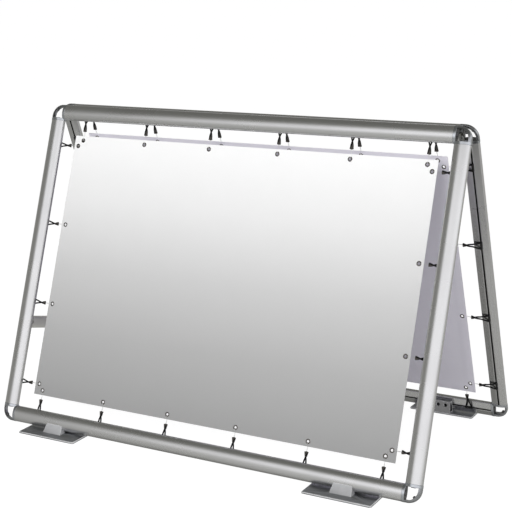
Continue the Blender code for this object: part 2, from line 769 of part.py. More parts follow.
def build_stay(front, back):
    """The two arms and their brackets, on the left of the stand."""
    numbers = stay_numbers()
    upright = frame_width / 2
    node("stay_front_bracket", stay_bracket_mesh(-1), front,
         from_hinge(-upright, 0.0, -stay_front_pivot_down), (0.0, 0.0, 0.0), hinge_steel)
    node("stay_rear_bracket", stay_bracket_mesh(-1), back,
         from_hinge(upright, 0.0, -stay_rear_pivot_down), (0.0, 0.0, 0.0), hinge_steel)
    aside = (stay_lap_gap + stay_thickness) / 2
    front_arm = arm_mesh(numbers["front_length"], elbow_washer=False)
    rear_arm = arm_mesh(numbers["length"] - numbers["front_length"], elbow_washer=True)
    for name, arm, place, x, turn in (
        ("stay_front_arm", front_arm, numbers["front"], -upright - aside, numbers["rest"]),
        ("stay_rear_arm", rear_arm, numbers["rear"], -upright + aside, numbers["rest"] + pi),
    ):
        node(name, arm, None, (x, place.x, place.y), (turn, 0.0, 0.0), stay_alloy)
    return numbers


def main():
    clear_scene()
    front = frame_axes("front_frame_axes", 0.0)
    back = frame_axes("back_frame_axes", pi)
    reach = slope_height / 2 - banner_height / 2 + eyelet_inset
    meshes = {
        "level_rail": rail_mesh(frame_width - 2 * rail_end_gap),
        "upright": rail_mesh(slope_height - 2 * rail_end_gap),
        "corner": corner_mesh(),
        "banner": banner_mesh(),
        "tie_1": tie_mesh(reach, 1),
        "tie_-1": tie_mesh(reach, -1),
        "foot": foot_plate_mesh(),
        "bracket": bracket_mesh(),
    }
    build_frame("front", front, meshes, 1, -1)
    build_frame("back", back, meshes, -1, 1)
    build_hinges(front, back)
    numbers = build_stay(front, back)
    print("stay front pivot y, z", [round(v, 6) for v in numbers["front"]])
    print("stay rear pivot y, z", [round(v, 6) for v in numbers["rear"]])
    print("hinge height", round(hinge_height, 6))
    for key in ("front_turn", "rear_turn"):
        turn = numbers[key]
        print(key, "degrees", round(turn * 180 / pi, 4), "ratio", round(turn / fold_limit, 5))


main()
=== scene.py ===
# %% [markdown]
# # An A-frame banner stand
#
# Two leaning aluminium frames are hinged together at the top. A banner of coated fabric is laced into
# each one with black elastic ties, and flat plate feet carry the whole. The construction comes from a
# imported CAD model, which is the fixed frame here: this script adds finishes, rounder forms, the soft
# parts and the small hardware around it, and never moves a CAD part.

from math import acos, cos, pi, radians, sin

import bmesh
import bpy
from mathutils import Matrix, Vector
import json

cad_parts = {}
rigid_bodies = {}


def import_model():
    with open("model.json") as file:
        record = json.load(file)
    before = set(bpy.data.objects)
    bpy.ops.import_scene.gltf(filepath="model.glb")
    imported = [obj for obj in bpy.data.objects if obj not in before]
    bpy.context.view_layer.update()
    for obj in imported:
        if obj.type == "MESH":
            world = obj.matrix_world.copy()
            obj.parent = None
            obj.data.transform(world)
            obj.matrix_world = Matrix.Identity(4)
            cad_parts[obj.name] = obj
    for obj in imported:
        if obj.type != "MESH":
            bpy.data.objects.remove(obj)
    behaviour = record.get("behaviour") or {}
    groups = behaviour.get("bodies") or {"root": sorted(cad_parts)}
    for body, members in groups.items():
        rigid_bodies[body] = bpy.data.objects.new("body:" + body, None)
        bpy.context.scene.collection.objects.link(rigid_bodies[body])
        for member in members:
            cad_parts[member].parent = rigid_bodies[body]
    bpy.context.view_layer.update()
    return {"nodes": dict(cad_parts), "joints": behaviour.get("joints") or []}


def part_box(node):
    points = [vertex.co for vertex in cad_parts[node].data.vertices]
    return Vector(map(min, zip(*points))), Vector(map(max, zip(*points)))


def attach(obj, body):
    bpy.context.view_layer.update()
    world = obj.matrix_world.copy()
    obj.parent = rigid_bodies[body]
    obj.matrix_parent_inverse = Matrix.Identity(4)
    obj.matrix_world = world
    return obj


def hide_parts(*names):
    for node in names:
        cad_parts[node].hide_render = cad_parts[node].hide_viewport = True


for leftover in list(bpy.data.objects):
    bpy.data.objects.remove(leftover)
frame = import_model()
nodes = frame["nodes"]
print("CAD nodes:", len(nodes))

# %% [markdown]
# The camera comes first. It stands to the stand's right and a little above it, with a long lens, so the
# frames are hardly foreshortened. Its place and turn were solved from the corners of the frames and
# banners. A Blender camera looks along its own -Z, so its matrix is written from three unit vectors:
# right, up and backwards.

# %% Camera
camera_place = Vector((2.2654, -3.9461, 1.7408))
camera_yaw, camera_pitch, camera_roll = radians(-29.619), radians(-13.482), radians(-0.998)
picture_width = 512
focal_pixels = 1260.59
sensor_width = 36.0
scene = bpy.context.scene


def placed(name, data):
    """A new object in the scene."""
    made = bpy.data.objects.new(name, data)
    scene.collection.objects.link(made)
    return made


ahead = Vector((sin(camera_yaw) * cos(camera_pitch), cos(camera_yaw) * cos(camera_pitch), sin(camera_pitch)))
level_right = Vector((cos(camera_yaw), -sin(camera_yaw), 0.0))
level_up = level_right.cross(ahead)
right = level_right * cos(camera_roll) + level_up * sin(camera_roll)
up = level_up * cos(camera_roll) - level_right * sin(camera_roll)

camera = placed("camera", bpy.data.cameras.new("camera"))
camera.data.sensor_width = sensor_width
camera.data.lens = focal_pixels / picture_width * sensor_width
camera.matrix_world = Matrix((right, up, -ahead)).transposed().to_4x4()
camera.location = camera_place
scene.camera = camera
print("lens", round(camera.data.lens, 2), "mm")

# %% [markdown]
# Each frame has its own axes, as a maker would draw it flat on a bench: X along the top rail, Y inwards
# to the other frame, Z up the slope, with the origin on the top rail's centre line. One matrix leans
# the front frame back into place, and half a turn about the world's Z makes it the back frame. The
# hinge's height and the banner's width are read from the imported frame, so that the two scripts can't
# drift apart.

# %% The frames' axes and main sizes
lean = radians(19.9)
top_rail_spread = 0.062
hinge_below_rail_centre = 0.020
slope_height = 1.180
banner_end_gap = 0.0845
banner_behind_rail = 0.0211

fold = next(joint for joint in frame["joints"] if joint["name"] == "frame_fold")
top_centre_height = fold["pos_m"][2] + hinge_below_rail_centre
low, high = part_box("front_right_upright")
upright_x = (low.x + high.x) / 2
low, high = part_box("front_banner")
banner_width = high.x - low.x
banner_height = slope_height - 2 * banner_end_gap
banner_side_gap = upright_x - banner_width / 2

top_rail_centre = Vector((0.0, -top_rail_spread / 2, top_centre_height))
front_axes = Matrix.Translation(top_rail_centre) @ Matrix.Rotation(-lean, 4, "X")
back_axes = Matrix.Rotation(pi, 4, "Z") @ front_axes
axes_of = {"front": front_axes, "back": back_axes}
print("uprights at x", round(upright_x, 4), "banner", round(banner_width, 4), "by", round(banner_height, 4))

# %% [markdown]
# Finishes and many shapes here are trees of nodes. One helper adds a node and joins up its inputs, so
# that a node takes one line. An input is given a plain value, the output of another node, or the node
# itself for its first output.

# %% Short ways to build a node tree
def wire(tree, socket, value):
    """An input's link from an output or a node, or else its plain value."""
    if isinstance(value, bpy.types.Node):
        value = value.outputs[0]
    if isinstance(value, bpy.types.NodeSocket):
        tree.links.new(value, socket)
    elif socket.type == "RGBA":
        socket.default_value = (*value, 1.0)
    else:
        socket.default_value = value


def add(tree, kind, inputs=None, **settings):
    """A node with its settings, and its inputs by name or number."""
    made = tree.nodes.new(kind)
    for key, value in settings.items():
        setattr(made, key, value)
    for key, value in (inputs or {}).items():
        wire(tree, made.inputs[key], value)
    return made


def maths(tree, operation, first, second=0.0):
    """A Math node."""
    return add(tree, "ShaderNodeMath", {0: first, 1: second}, operation=operation)


def mixed(tree, share, first, second, kind="RGBA", blend="MIX"):
    """The mix of two colours, or of two numbers where the kind is FLOAT."""
    inputs = {"Factor": share, "A": first, "B": second}
    return add(tree, "ShaderNodeMix", inputs, data_type=kind, blend_type=blend).outputs["Result"]


def value_ramp(tree, source, stops, course="EASE"):
    """A grey level by a number from 0 to 1, given as (position, level) stops."""
    ramp = add(tree, "ShaderNodeValToRGB", {"Fac": source})
    ramp.color_ramp.interpolation = course
    while len(ramp.color_ramp.elements) < len(stops):
        ramp.color_ramp.elements.new(1.0)
    for element, (position, level) in zip(ramp.color_ramp.elements, stops):
        element.position = position
        element.color = (level, level, level, 1.0)
    return ramp


def blank(name, metallic, roughness, specular=0.5):
    """A material, its tree, the inputs of its Principled shader and the place on the object."""
    made = bpy.data.materials.new(name)
    made.use_nodes = True
    tree = made.node_tree
    shader = tree.nodes["Principled BSDF"].inputs
    for key, value in (("Metallic", metallic), ("Roughness", roughness), ("Specular IOR Level", specular)):
        shader[key].default_value = value
    return made, tree, shader, add(tree, "ShaderNodeTexCoord").outputs["Object"]


print("node helpers ready")

# %% [markdown]
# Satin metal shows little of its own colour. It shows the room. In a product studio a wide white wall
# of light stands in front and to the right, while the space overhead and to the left stays dim, which
# draws the dark edges along the rails. Here the camera sees a white world, and every other ray sees
# that studio: one level by height for the lit side and one for the dim side, mixed by the bearing. The
# metal sees that studio through the floor too, a little olive where it is dark. The lamps light the
# fabric and throw the shadow, but the metal doesn't mirror them.

# %% The studio around the stand
scene.view_settings.view_transform = "Standard"

# bearings run from behind (0) over the left (0.25), the front (0.5) and the right (0.75) to behind (1)
lit_share_stops = [(0.0, 0.15), (0.15, 0.06), (0.28, 0.05), (0.372, 0.04), (0.397, 0.10), (0.416, 0.90),
                   (0.433, 1.0), (0.75, 0.95), (0.85, 0.9), (0.92, 0.5), (1.0, 0.15)]
# heights run from straight down (0) over the horizon (0.5) to straight up (1)
lit_side_stops = [(0.0, 0.12), (0.1, 0.26), (0.2, 0.44), (0.3, 0.43), (0.45, 0.47), (0.52, 0.62),
                  (0.578, 1.14), (0.64, 1.14), (0.71, 0.36), (0.78, 0.15), (1.0, 0.135)]
dim_side_stops = [(0.0, 0.12), (0.2, 0.14), (0.32, 0.24), (0.45, 0.3), (0.5, 0.28), (0.56, 0.2),
                  (0.62, 0.155), (1.0, 0.145)]
studio_strength = 1.12
dark_tint = (1.0, 1.0, 0.90)
bright_tint = (1.0, 0.998, 1.015)
white = (1.0, 1.0, 1.0)
floor_tone = (0.9, 0.9, 0.9)
floor_whiteness = 0.8
floor_glow = 1.175
studio_below_share = 0.85
floor_half_width = 90
floor_drop = 0.0005


def studio_world():
    """White for the camera, and the studio's level by bearing and height for every other ray."""
    world = bpy.data.worlds.new("studio")
    world.use_nodes = True
    tree = world.node_tree
    path = add(tree, "ShaderNodeLightPath").outputs
    way = add(tree, "ShaderNodeTexCoord").outputs["Generated"]
    split = add(tree, "ShaderNodeSeparateXYZ", {0: way}).outputs
    bearing = maths(tree, "ARCTAN2", split["X"], maths(tree, "MULTIPLY", split["Y"], -1.0))
    turn = maths(tree, "ADD", maths(tree, "DIVIDE", bearing, 2 * pi), 0.5)
    rise = maths(tree, "ADD", maths(tree, "DIVIDE", maths(tree, "ARCSINE", split["Z"]), pi), 0.5)
    dim, lit = [value_ramp(tree, rise, stops) for stops in (dim_side_stops, lit_side_stops)]
    room = mixed(tree, value_ramp(tree, turn, lit_share_stops), dim, lit, "FLOAT")
    level = maths(tree, "MULTIPLY", room, studio_strength)
    seen = tree.nodes["Background"].inputs
    wire(tree, seen["Strength"], mixed(tree, path["Is Camera Ray"], level, 1.0, "FLOAT"))
    tint = mixed(tree, level, dark_tint, bright_tint)
    wire(tree, seen["Color"], mixed(tree, path["Is Glossy Ray"], white, tint))
    return world


def studio_floor():
    """Glows white for the camera, and lets most mirrored rays through to the studio below."""
    made, tree, shader, _ = blank("pale_floor", 0.0, 0.9, 0.0)
    wire(tree, shader["Base Color"], floor_tone)
    path = add(tree, "ShaderNodeLightPath").outputs
    glow = add(tree, "ShaderNodeEmission", {"Strength": floor_glow})
    unseen = add(tree, "ShaderNodeBsdfTransparent")
    top = tree.nodes["Principled BSDF"]
    for ray, share, other in (("Is Camera Ray", floor_whiteness, glow),
                              ("Is Glossy Ray", studio_below_share, unseen)):
        share_of_rays = maths(tree, "MULTIPLY", path[ray], share)
        top = add(tree, "ShaderNodeMixShader", {"Fac": share_of_rays, 1: top, 2: other})
    wire(tree, tree.nodes["Material Output"].inputs["Surface"], top)
    return made


def softbox(name, place, target, width, height, power):
    """A rectangular lamp aimed at a point."""
    lamp = placed(name, bpy.data.lights.new(name, "AREA"))
    lamp.data.shape = "RECTANGLE"
    lamp.data.size = width
    lamp.data.size_y = height
    lamp.data.energy = power
    lamp.visible_camera = False
    lamp.visible_glossy = False
    lamp.location = place
    lamp.rotation_euler = (Vector(target) - Vector(place)).to_track_quat("-Z", "Y").to_euler()


floor_mesh = bpy.data.meshes.new("floor")
floor_corners = [(floor_half_width * x, floor_half_width * y, 0)
                 for x, y in ((-1, -1), (1, -1), (1, 1), (-1, 1))]
floor_mesh.from_pydata(floor_corners, [], [(0, 1, 2, 3)])
floor = placed("floor", floor_mesh)
floor.location.z = -floor_drop
floor_mesh.materials.append(studio_floor())
scene.world = studio_world()
softbox("front_softbox", (0.6, -5.0, 2.8), (0.0, 0.0, 0.5), width=3.0, height=2.0, power=120.0)
softbox("overhead_softbox", (0.0, -0.5, 4.5), (0.0, 0.0, 0.0), width=3.0, height=3.0, power=40.0)

# %% [markdown]
# Next come the finishes. The rails are extruded aluminium, drawn and anodised satin, which leaves very
# fine lines along each rail. A noise stretched a few hundred times along one direction gives those
# lines, and the Mapping node turns that direction to the slope of the frame. Cast and plated parts have
# no direction: their colour and gloss change a little in soft clouds, and their skin is slightly
# uneven.

# %% Metal finishes
noise_start = (3.7, 5.3, 7.1)
noise_lacunarity = 2.3
line_scales = (1.5, 900.0, 900.0)


def noise(tree, place, scale, detail=3.0, stretch=None, tilt=0.0):
    """A noise on a place, stretched along axes tilted about X where a stretch is given."""
    if stretch:
        place = add(tree, "ShaderNodeMapping", {"Vector": place, "Location": noise_start,
                                                "Rotation": (tilt, 0.0, 0.0), "Scale": stretch})
    inputs = {"Vector": place, "Scale": scale, "Detail": detail, "Lacunarity": noise_lacunarity}
    return add(tree, "ShaderNodeTexNoise", inputs).outputs["Fac"]


def two_tone(tree, share, tone, darker, lighter):
    """A colour that wanders between a darker and a lighter version of a tone."""
    return mixed(tree, share, [c * darker for c in tone], [c * lighter for c in tone])


def between(tree, share, low_value, high_value):
    """A number between two values, from the middle half of a noise's range."""
    inputs = {"Value": share, "From Min": 0.25, "From Max": 0.75, "To Min": low_value, "To Max": high_value}
    return add(tree, "ShaderNodeMapRange", inputs)


def surface(tree, shader, colour, height, depth, strength, gloss=None):
    """The shader's colour, its roughness where it varies, and a bump of a real depth in metres."""
    wire(tree, shader["Base Color"], colour)
    if gloss:
        wire(tree, shader["Roughness"], gloss)
    bump = add(tree, "ShaderNodeBump", {"Strength": strength, "Distance": depth, "Height": height})
    wire(tree, shader["Normal"], bump)


def drawn_metal(name, tone, roughness, tilt=None, contrast=0.05):
    """Satin metal with drawing lines along X, or up a slope that is tilted about X."""
    made, tree, shader, place = blank(name, 1.0, roughness)
    stretch = line_scales if tilt is None else line_scales[::-1]
    lines = noise(tree, place, 1.0, 4.0, stretch, tilt or 0.0)
    gloss = between(tree, noise(tree, place, 5.0, 2.0), roughness - 0.03, roughness + 0.04)
    colour = two_tone(tree, lines, tone, 1 - contrast, 1 + contrast)
    surface(tree, shader, colour, lines, depth=0.00002, strength=0.35, gloss=gloss)
    return made


def cast_metal(name, tone, roughness, metallic=1.0):
    """Die-cast or plated metal: soft clouds of tone and gloss over a faintly uneven skin."""
    made, tree, shader, place = blank(name, metallic, roughness)
    colour = two_tone(tree, noise(tree, place, 40.0, 4.0), tone, 0.86, 1.12)
    gloss = between(tree, noise(tree, place, 130.0, 3.0), roughness - 0.05, roughness + 0.07)
    skin = noise(tree, place, 900.0, 2.0)
    surface(tree, shader, colour, skin, depth=0.00003, strength=0.5, gloss=gloss)
    return made


anodised = (0.70, 0.70, 0.705)
rail_looks = {
    "level": drawn_metal("anodised_along_width", anodised, 0.27),
    "front": drawn_metal("anodised_up_front_slope", anodised, 0.27, tilt=lean),
    "back": drawn_metal("anodised_up_back_slope", anodised, 0.27, tilt=-lean),
}
# painted shade: near black on the walls inside the rails' slots, where little light gets in
slot_shade_look = drawn_metal("slot_painted_shade", (0.06, 0.06, 0.058), 0.5)
corner_look = cast_metal("cast_corner", (0.52, 0.54, 0.57), 0.18)
strap_look = cast_metal("cast_strap", (0.42, 0.43, 0.45), 0.24)
# painted shade: near black for the end faces, pads and boss inside the corner elbows
elbow_shade_look = cast_metal("elbow_painted_shade", (0.16, 0.16, 0.165), 0.42)
foot_look = drawn_metal("rolled_foot_plate", (0.40, 0.41, 0.43), 0.42, contrast=0.02)
# painted highlight: a pale, almost non-metallic finish on the feet's rounded edges and the brackets' cut ends
edge_highlight_look = cast_metal("edge_painted_highlight", (0.84, 0.845, 0.85), 0.40, metallic=0.1)
wedge_look = cast_metal("cast_wedge", (0.54, 0.545, 0.56), 0.45, metallic=0.25)
bracket_look = drawn_metal("satin_foot_bracket", (0.37, 0.37, 0.385), 0.34)
hinge_look = cast_metal("plated_hinge", (0.40, 0.40, 0.38), 0.30)
stay_look = drawn_metal("anodised_stay", (0.88, 0.875, 0.845), 0.34, tilt=0.0)
screw_look = cast_metal("plated_screw", (0.55, 0.55, 0.55), 0.26)
eyelet_look = cast_metal("bronzed_eyelet", (0.15, 0.14, 0.13), 0.26)
wire_look = cast_metal("zinc_wire", (0.90, 0.90, 0.90), 0.34)
print("metal finishes:", len([m for m in bpy.data.materials if m.use_nodes]) - 1)

# %% [markdown]
# Most pieces here are made as a bmesh in the frame's own axes and then carried into place. One helper
# finishes them all alike: it names the mesh, gives it its finish, shades round stretches smooth while
# real edges stay crisp, and puts the piece on its body. The object itself stays at the origin.

# %% Finishing a piece
def plain_mesh(bm):
    """A mesh from a bmesh, merged and with its faces outwards."""
    bmesh.ops.remove_doubles(bm, verts=bm.verts, dist=1e-6)
    bmesh.ops.recalc_face_normals(bm, faces=bm.faces)
    mesh = bpy.data.meshes.new("mesh")
    bm.to_mesh(mesh)
    bm.free()
    return mesh


def piece(name, mesh, body, look, crisp=35.0):
    """A finished object on its body."""
    mesh.name = name
    mesh.materials.clear()
    mesh.materials.append(look)
    mesh.shade_smooth()
    mesh.set_sharp_from_angle(angle=radians(crisp))
    made = placed(name, mesh)
    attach(made, body)
    return made


def evaluated(holder):
    """The plain mesh that an object's modifiers make of it, with the object taken away."""
    bpy.context.view_layer.update()
    graph = bpy.context.evaluated_depsgraph_get()
    mesh = bpy.data.meshes.new_from_object(holder.evaluated_get(graph))
    bpy.data.objects.remove(holder)
    return mesh


def drilled(mesh, places, axis, radius, depth, segments):
    """The mesh with round holes at some places, drilled along Z turned by a quarter about an axis."""
    bm = bmesh.new()
    for place in places:
        turned = Matrix.Translation(place) @ Matrix.Rotation(pi / 2, 4, axis)
        bmesh.ops.create_cone(bm, cap_ends=True, segments=segments, radius1=radius, radius2=radius,
                              depth=depth, matrix=turned)
    drill, work = placed("drill", plain_mesh(bm)), placed("work", mesh)
    cut = work.modifiers.new("cut", "BOOLEAN")
    cut.object, cut.operation, cut.solver = drill, "DIFFERENCE", "EXACT"
    made = evaluated(work)
    bpy.data.objects.remove(drill)
    return made


def joined(meshes):
    """Several meshes as one."""
    bm = bmesh.new()
    for mesh in meshes:
        bm.from_mesh(mesh)
    made = bpy.data.meshes.new("joined")
    bm.to_mesh(made)
    bm.free()
    return made


def lofted(rings, closed=True):
    """A skin through rings of as many points each, with flat ends where closed."""
    bm = bmesh.new()
    loops = [[bm.verts.new(p) for p in ring] for ring in rings]
    count = len(loops[0])
    for near, far in zip(loops, loops[1:]):
        for i in range(count):
            k = (i + 1) % count
            bm.faces.new((near[i], near[k], far[k], far[i]))
    if closed:
        bm.faces.new(loops[0])
        bm.faces.new(loops[-1])
    return plain_mesh(bm)


def arc(centre, radius, start, end, steps):
    """The points of an arc between two angles in degrees."""
    angles = [radians(start + (end - start) * i / steps) for i in range(steps + 1)]
    return [(centre[0] + radius * cos(a), centre[1] + radius * sin(a)) for a in angles]


def painted(made, look, chosen):
    """A further finish on the faces for which chosen(face) holds."""
    made.data.materials.append(look)
    index = len(made.data.materials) - 1
    for face in made.data.polygons:
        if chosen(face):
            face.material_index = index


def body_of(which):
    return which + "_frame"


print("piece helpers ready")

# %% [markdown]
# A rail is one extrusion: a domed outer face, a flat inner face with a T-shaped slot for the ties, and
# a hollow chamber. Geometry Nodes suit a shape that is one section carried along a line. The section's
# two closed lines are drawn as edges, and the tree fills the space between them, extrudes it to the
# rail's length and closes the far end. The dome is half an ellipse, so it is written as a formula.

# %% The rail's section
half_rail = 0.0295
dome_height = 0.0155
flat_depth = 0.0135
edge_round = 0.004
inner_face_level = 0.013
inner_face_drop = 0.0035
wall = 0.0022
slot_mouth = 0.006
slot_lip = 0.0022
slot_room_width = 0.014
slot_room_depth = 0.0068
lip_round = 0.0005
dome_steps = 48


def dome_line(grow):
    """The dome from its right end over the crown to its left end, with the rail grown outwards."""
    turns = [pi * i / dome_steps for i in range(dome_steps + 1)]
    return [((half_rail + grow) * cos(t), -(dome_height + grow) * sin(t)) for t in turns]


def inner_face(across):
    """The depth of the inner face at a distance from its middle: level beside the slot, then sloping."""
    level = inner_face_level / 2
    share = (across - level) / (half_rail - edge_round - level)
    return flat_depth - inner_face_drop * max(share, 0.0)


def rail_outline(grow=0.0, slotted=True):
    """The outer line of the section: dome to -Y, inner face to +Y with the slot's mouth in it."""
    side, flat = half_rail + grow, flat_depth + grow
    edge = inner_face(half_rail - edge_round) + grow
    left = arc((-side + edge_round, edge - edge_round), edge_round, 180.0, 90.0, 6)
    left.append((-inner_face_level / 2, flat))
    right = arc((side - edge_round, edge - edge_round), edge_round, 90.0, 0.0, 6)
    right.insert(0, (inner_face_level / 2, flat))
    slot = []
    if slotted:
        mouth, room = slot_mouth / 2, slot_room_width / 2
        ceiling, floor_of_slot = flat - slot_lip, flat - slot_lip - slot_room_depth
        slot = arc((-mouth - lip_round, flat - lip_round), lip_round, 90.0, 0.0, 2)
        slot += [(-mouth, ceiling), (-room, ceiling), (-room, floor_of_slot), (room, floor_of_slot),
                 (room, ceiling), (mouth, ceiling)]
        slot += arc((mouth + lip_round, flat - lip_round), lip_round, 180.0, 90.0, 2)
    return dome_line(grow) + left + slot + right


def chamber_outline():
    """The hollow inside the dome and on both sides of the slot."""
    beside = slot_room_width / 2 + wall
    over_slot = flat_depth - slot_lip - slot_room_depth - wall
    side = half_rail - wall
    edge = inner_face(half_rail - edge_round)
    half = [(side, edge - edge_round), (side - edge_round / 2, edge - wall),
            (beside, inner_face(beside) - wall), (beside, over_slot)]
    return dome_line(-wall) + [(-x, y) for x, y in half] + half[::-1]


def edges_mesh(outlines):
    """Closed lines of 2-D points as a mesh of edges."""
    points, edges = [], []
    for outline in outlines:
        first = len(points)
        points += [(x, y, 0.0) for x, y in outline]
        edges += [(first + i, first + (i + 1) % len(outline)) for i in range(len(outline))]
    mesh = bpy.data.meshes.new("edges")
    mesh.from_pydata(points, edges, [])
    return mesh


print("points in the section:", len(rail_outline()) + len(chamber_outline()))

# %% The tree that extrudes a section
def tree_with(name, **inputs):
    """An empty geometry tree with further inputs by name and kind, and what its group input gives."""
    tree = bpy.data.node_groups.new(name, "GeometryNodeTree")
    tree.interface.new_socket("Geometry", in_out="OUTPUT", socket_type="NodeSocketGeometry")
    for label, kind in {"Geometry": "Geometry", **inputs, "Finish": "Material"}.items():
        tree.interface.new_socket(label, in_out="INPUT", socket_type="NodeSocket" + kind)
    return tree, add(tree, "NodeGroupInput").outputs


def close_tree(tree, given, result):
    """The tree's end: real geometry with its material."""
    real = add(tree, "GeometryNodeRealizeInstances", {0: result})
    finished = add(tree, "GeometryNodeSetMaterial", {"Geometry": real, "Material": given["Finish"]})
    add(tree, "NodeGroupOutput", {0: finished})
    return tree


def extrusion_tree():
    tree, given = tree_with("extrusion", Length="Float")
    lines = add(tree, "GeometryNodeMeshToCurve", {0: given["Geometry"]})
    filled = add(tree, "GeometryNodeFillCurve", {"Curve": lines})
    along = add(tree, "ShaderNodeCombineXYZ", {"Z": given["Length"]})
    half = add(tree, "ShaderNodeVectorMath", {0: along, "Scale": -0.5}, operation="SCALE")
    start = add(tree, "GeometryNodeTransform", {"Geometry": filled, "Translation": half})
    walls = add(tree, "GeometryNodeExtrudeMesh", {"Mesh": start, "Individual": False, "Offset Scale": 1.0,
                                                  "Offset": along}, mode="FACES")
    both = add(tree, "GeometryNodeJoinGeometry", {0: walls})
    wire(tree, both.inputs[0], add(tree, "GeometryNodeFlipFaces", {0: start}))
    welded = add(tree, "GeometryNodeMergeByDistance", {"Geometry": both, "Distance": 1e-6})
    return close_tree(tree, given, welded)


def run_tree(tree, base, **values):
    """The plain mesh that a tree makes from a base mesh, with its named inputs set by their identifiers."""
    holder = placed("holder", base)
    step = holder.modifiers.new("step", "NODES")
    step.node_group = tree
    for item in tree.interface.items_tree:
        if item.in_out == "INPUT" and item.name in values:
            step[item.identifier] = values[item.name]
    return evaluated(holder)


extrusion = extrusion_tree()
rail_section = edges_mesh([rail_outline(), chamber_outline()])
test_rail = run_tree(extrusion, rail_section, Length=1.0, Finish=rail_looks["level"])
print("faces in one rail:", len(test_rail.polygons))

# %% The eight rails
collar_over_rail = 0.004
collar_clearance = 0.0003
rail_end_gap = half_rail + collar_over_rail + collar_clearance
slot_floor = flat_depth - slot_lip - slot_room_depth
slot_margin = 1e-4


def outward(mesh):
    """The same mesh, merged and with its faces outwards."""
    bm = bmesh.new()
    bm.from_mesh(mesh)
    return plain_mesh(bm)


def in_slot(face):
    """Whether a face of a rail in its own axes is a wall of the slot."""
    middle = face.center
    inside = abs(middle.x) < slot_room_width / 2 + slot_margin and abs(face.normal.z) < 0.5
    return inside and slot_floor - slot_margin < middle.y < flat_depth - lip_round


def make_rail(which, row, place, turn, length, look):
    mesh = outward(run_tree(extrusion, rail_section.copy(), Length=length, Finish=look))
    slot_faces = [in_slot(face) for face in mesh.polygons]
    mesh.transform(axes_of[which] @ Matrix.Translation(place) @ turn)
    made = piece(f"{which}_{row}_drawn", mesh, body_of(which), look, crisp=7.0)
    # the slot's walls carry the painted shade
    painted(made, slot_shade_look, lambda face: slot_faces[face.index])
    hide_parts(f"{which}_{row}")


for which in ("front", "back"):
    world_left = -1 if which == "front" else 1
    lying = Matrix.Rotation(pi / 2, 4, "Y")
    for row, z in (("top_rail", 0.0), ("bottom_rail", -slope_height)):
        make_rail(which, row, (0.0, 0.0, z), lying, 2 * (upright_x - rail_end_gap), rail_looks["level"])
    for side, sign in (("left", world_left), ("right", -world_left)):
        make_rail(which, f"{side}_upright", (sign * upright_x, 0.0, -slope_height / 2), Matrix.Identity(4),
                  slope_height - 2 * rail_end_gap, rail_looks[which])

# %% [markdown]
# The corners are die-cast elbows. Each rail ends in a collar that stands a little proud of it, an open
# quarter-round strap joins the two collars on the outside, and a small boss sits inside the strap. The
# corners are what one sees first, so they are rebuilt finer than their CAD solids: the collars are
# lofted through rings whose first and last are drawn in, which rounds their edges, and the strap is the
# outer side of the rail's dome, carried straight out of one collar, round by a quarter turn and
# straight into the other. Each end face carries a raised pad, where the casting is thickened behind the
# locking screw. The collars are polished and the strap less so. The end faces, their pads and the boss
# face into the shadowed inside of the corner, and are painted near black as painted shade.

# %% The corner castings
collar_proud = 0.0008
collar_past_corner = 0.006
collar_round = 0.0006
collar_start = -half_rail - collar_over_rail
collar_end = -half_rail + collar_past_corner
strap_proud = 0.0005
strap_thickness = 0.0095
strap_turn_radius = 0.046
strap_inward = 0.0085
strap_round = 0.0015
strap_steps = 28
strap_dome_steps = 14
turn_centre = half_rail + strap_proud - strap_turn_radius
strap_inner_radius = strap_turn_radius - strap_thickness
boss_outward = 0.0078
boss_inward = 0.0025
boss_taper = 0.15
boss_root = strap_inner_radius + 0.001
# the boss as (distance from the turn's centre, half width) from its root to its tip
boss_stops = [(boss_root, 0.0062), (strap_inner_radius - 0.0015, 0.0055),
              (strap_inner_radius - 0.0045, 0.0045), (strap_inner_radius - 0.006, 0.0030)]
pad_half_width = 0.0085
pad_half_depth = 0.0075
pad_height = 0.0026
pad_corner = 0.0035
# the pad as (distance along the rail, how far its outline is drawn in)
pad_stops = [(collar_end - 0.001, 0.0), (collar_end, 0.0), (collar_end + pad_height - 0.0008, 0.0006),
             (collar_end + pad_height, 0.0016)]
tongue_length = 0.045
tongue_clearance = 0.0005
polished, satin, dark = 0, 1, 2


def ring_at(outline, along, swap):
    """A section's outline as a ring across Z, or across X where swap is set."""
    return [(along, y, x) if swap else (x, y, along) for x, y in outline]


def collar_rings(swap):
    """The rings of one collar with rounded edges."""
    stops = [(collar_start, collar_proud - collar_round), (collar_start + collar_round, collar_proud),
             (collar_end - collar_round, collar_proud), (collar_end, collar_proud - collar_round)]
    return [ring_at(rail_outline(grow, slotted=False), along, swap) for along, grow in stops]


def rounded_rectangle(half_x, half_y, radius, steps=4):
    """A rectangle's outline with round corners, about the origin."""
    points = []
    for corner, (sx, sy) in enumerate(((1, 1), (-1, 1), (-1, -1), (1, -1))):
        centre = (sx * (half_x - radius), sy * (half_y - radius))
        points += arc(centre, radius, 90.0 * corner, 90.0 * corner + 90.0, steps)
    return points


def pad_rings(swap):
    """The raised pad on a collar's end face."""
    rings = []
    for along, draw in pad_stops:
        outline = rounded_rectangle(pad_half_width - draw, pad_half_depth - draw, pad_corner - draw)
        rings.append(ring_at(outline, along, swap))
    return rings


def tongue_rings(swap):
    """The tongue that fills the rail's dome, out of sight inside the rail."""
    over_slot = slot_floor - wall - tongue_clearance
    dome = dome_line(-wall - tongue_clearance)[6:-6]
    outline = dome + [(dome[-1][0], over_slot), (dome[0][0], over_slot)]
    return [ring_at(outline, along, swap) for along in (collar_start - tongue_length, collar_start + 0.0005)]


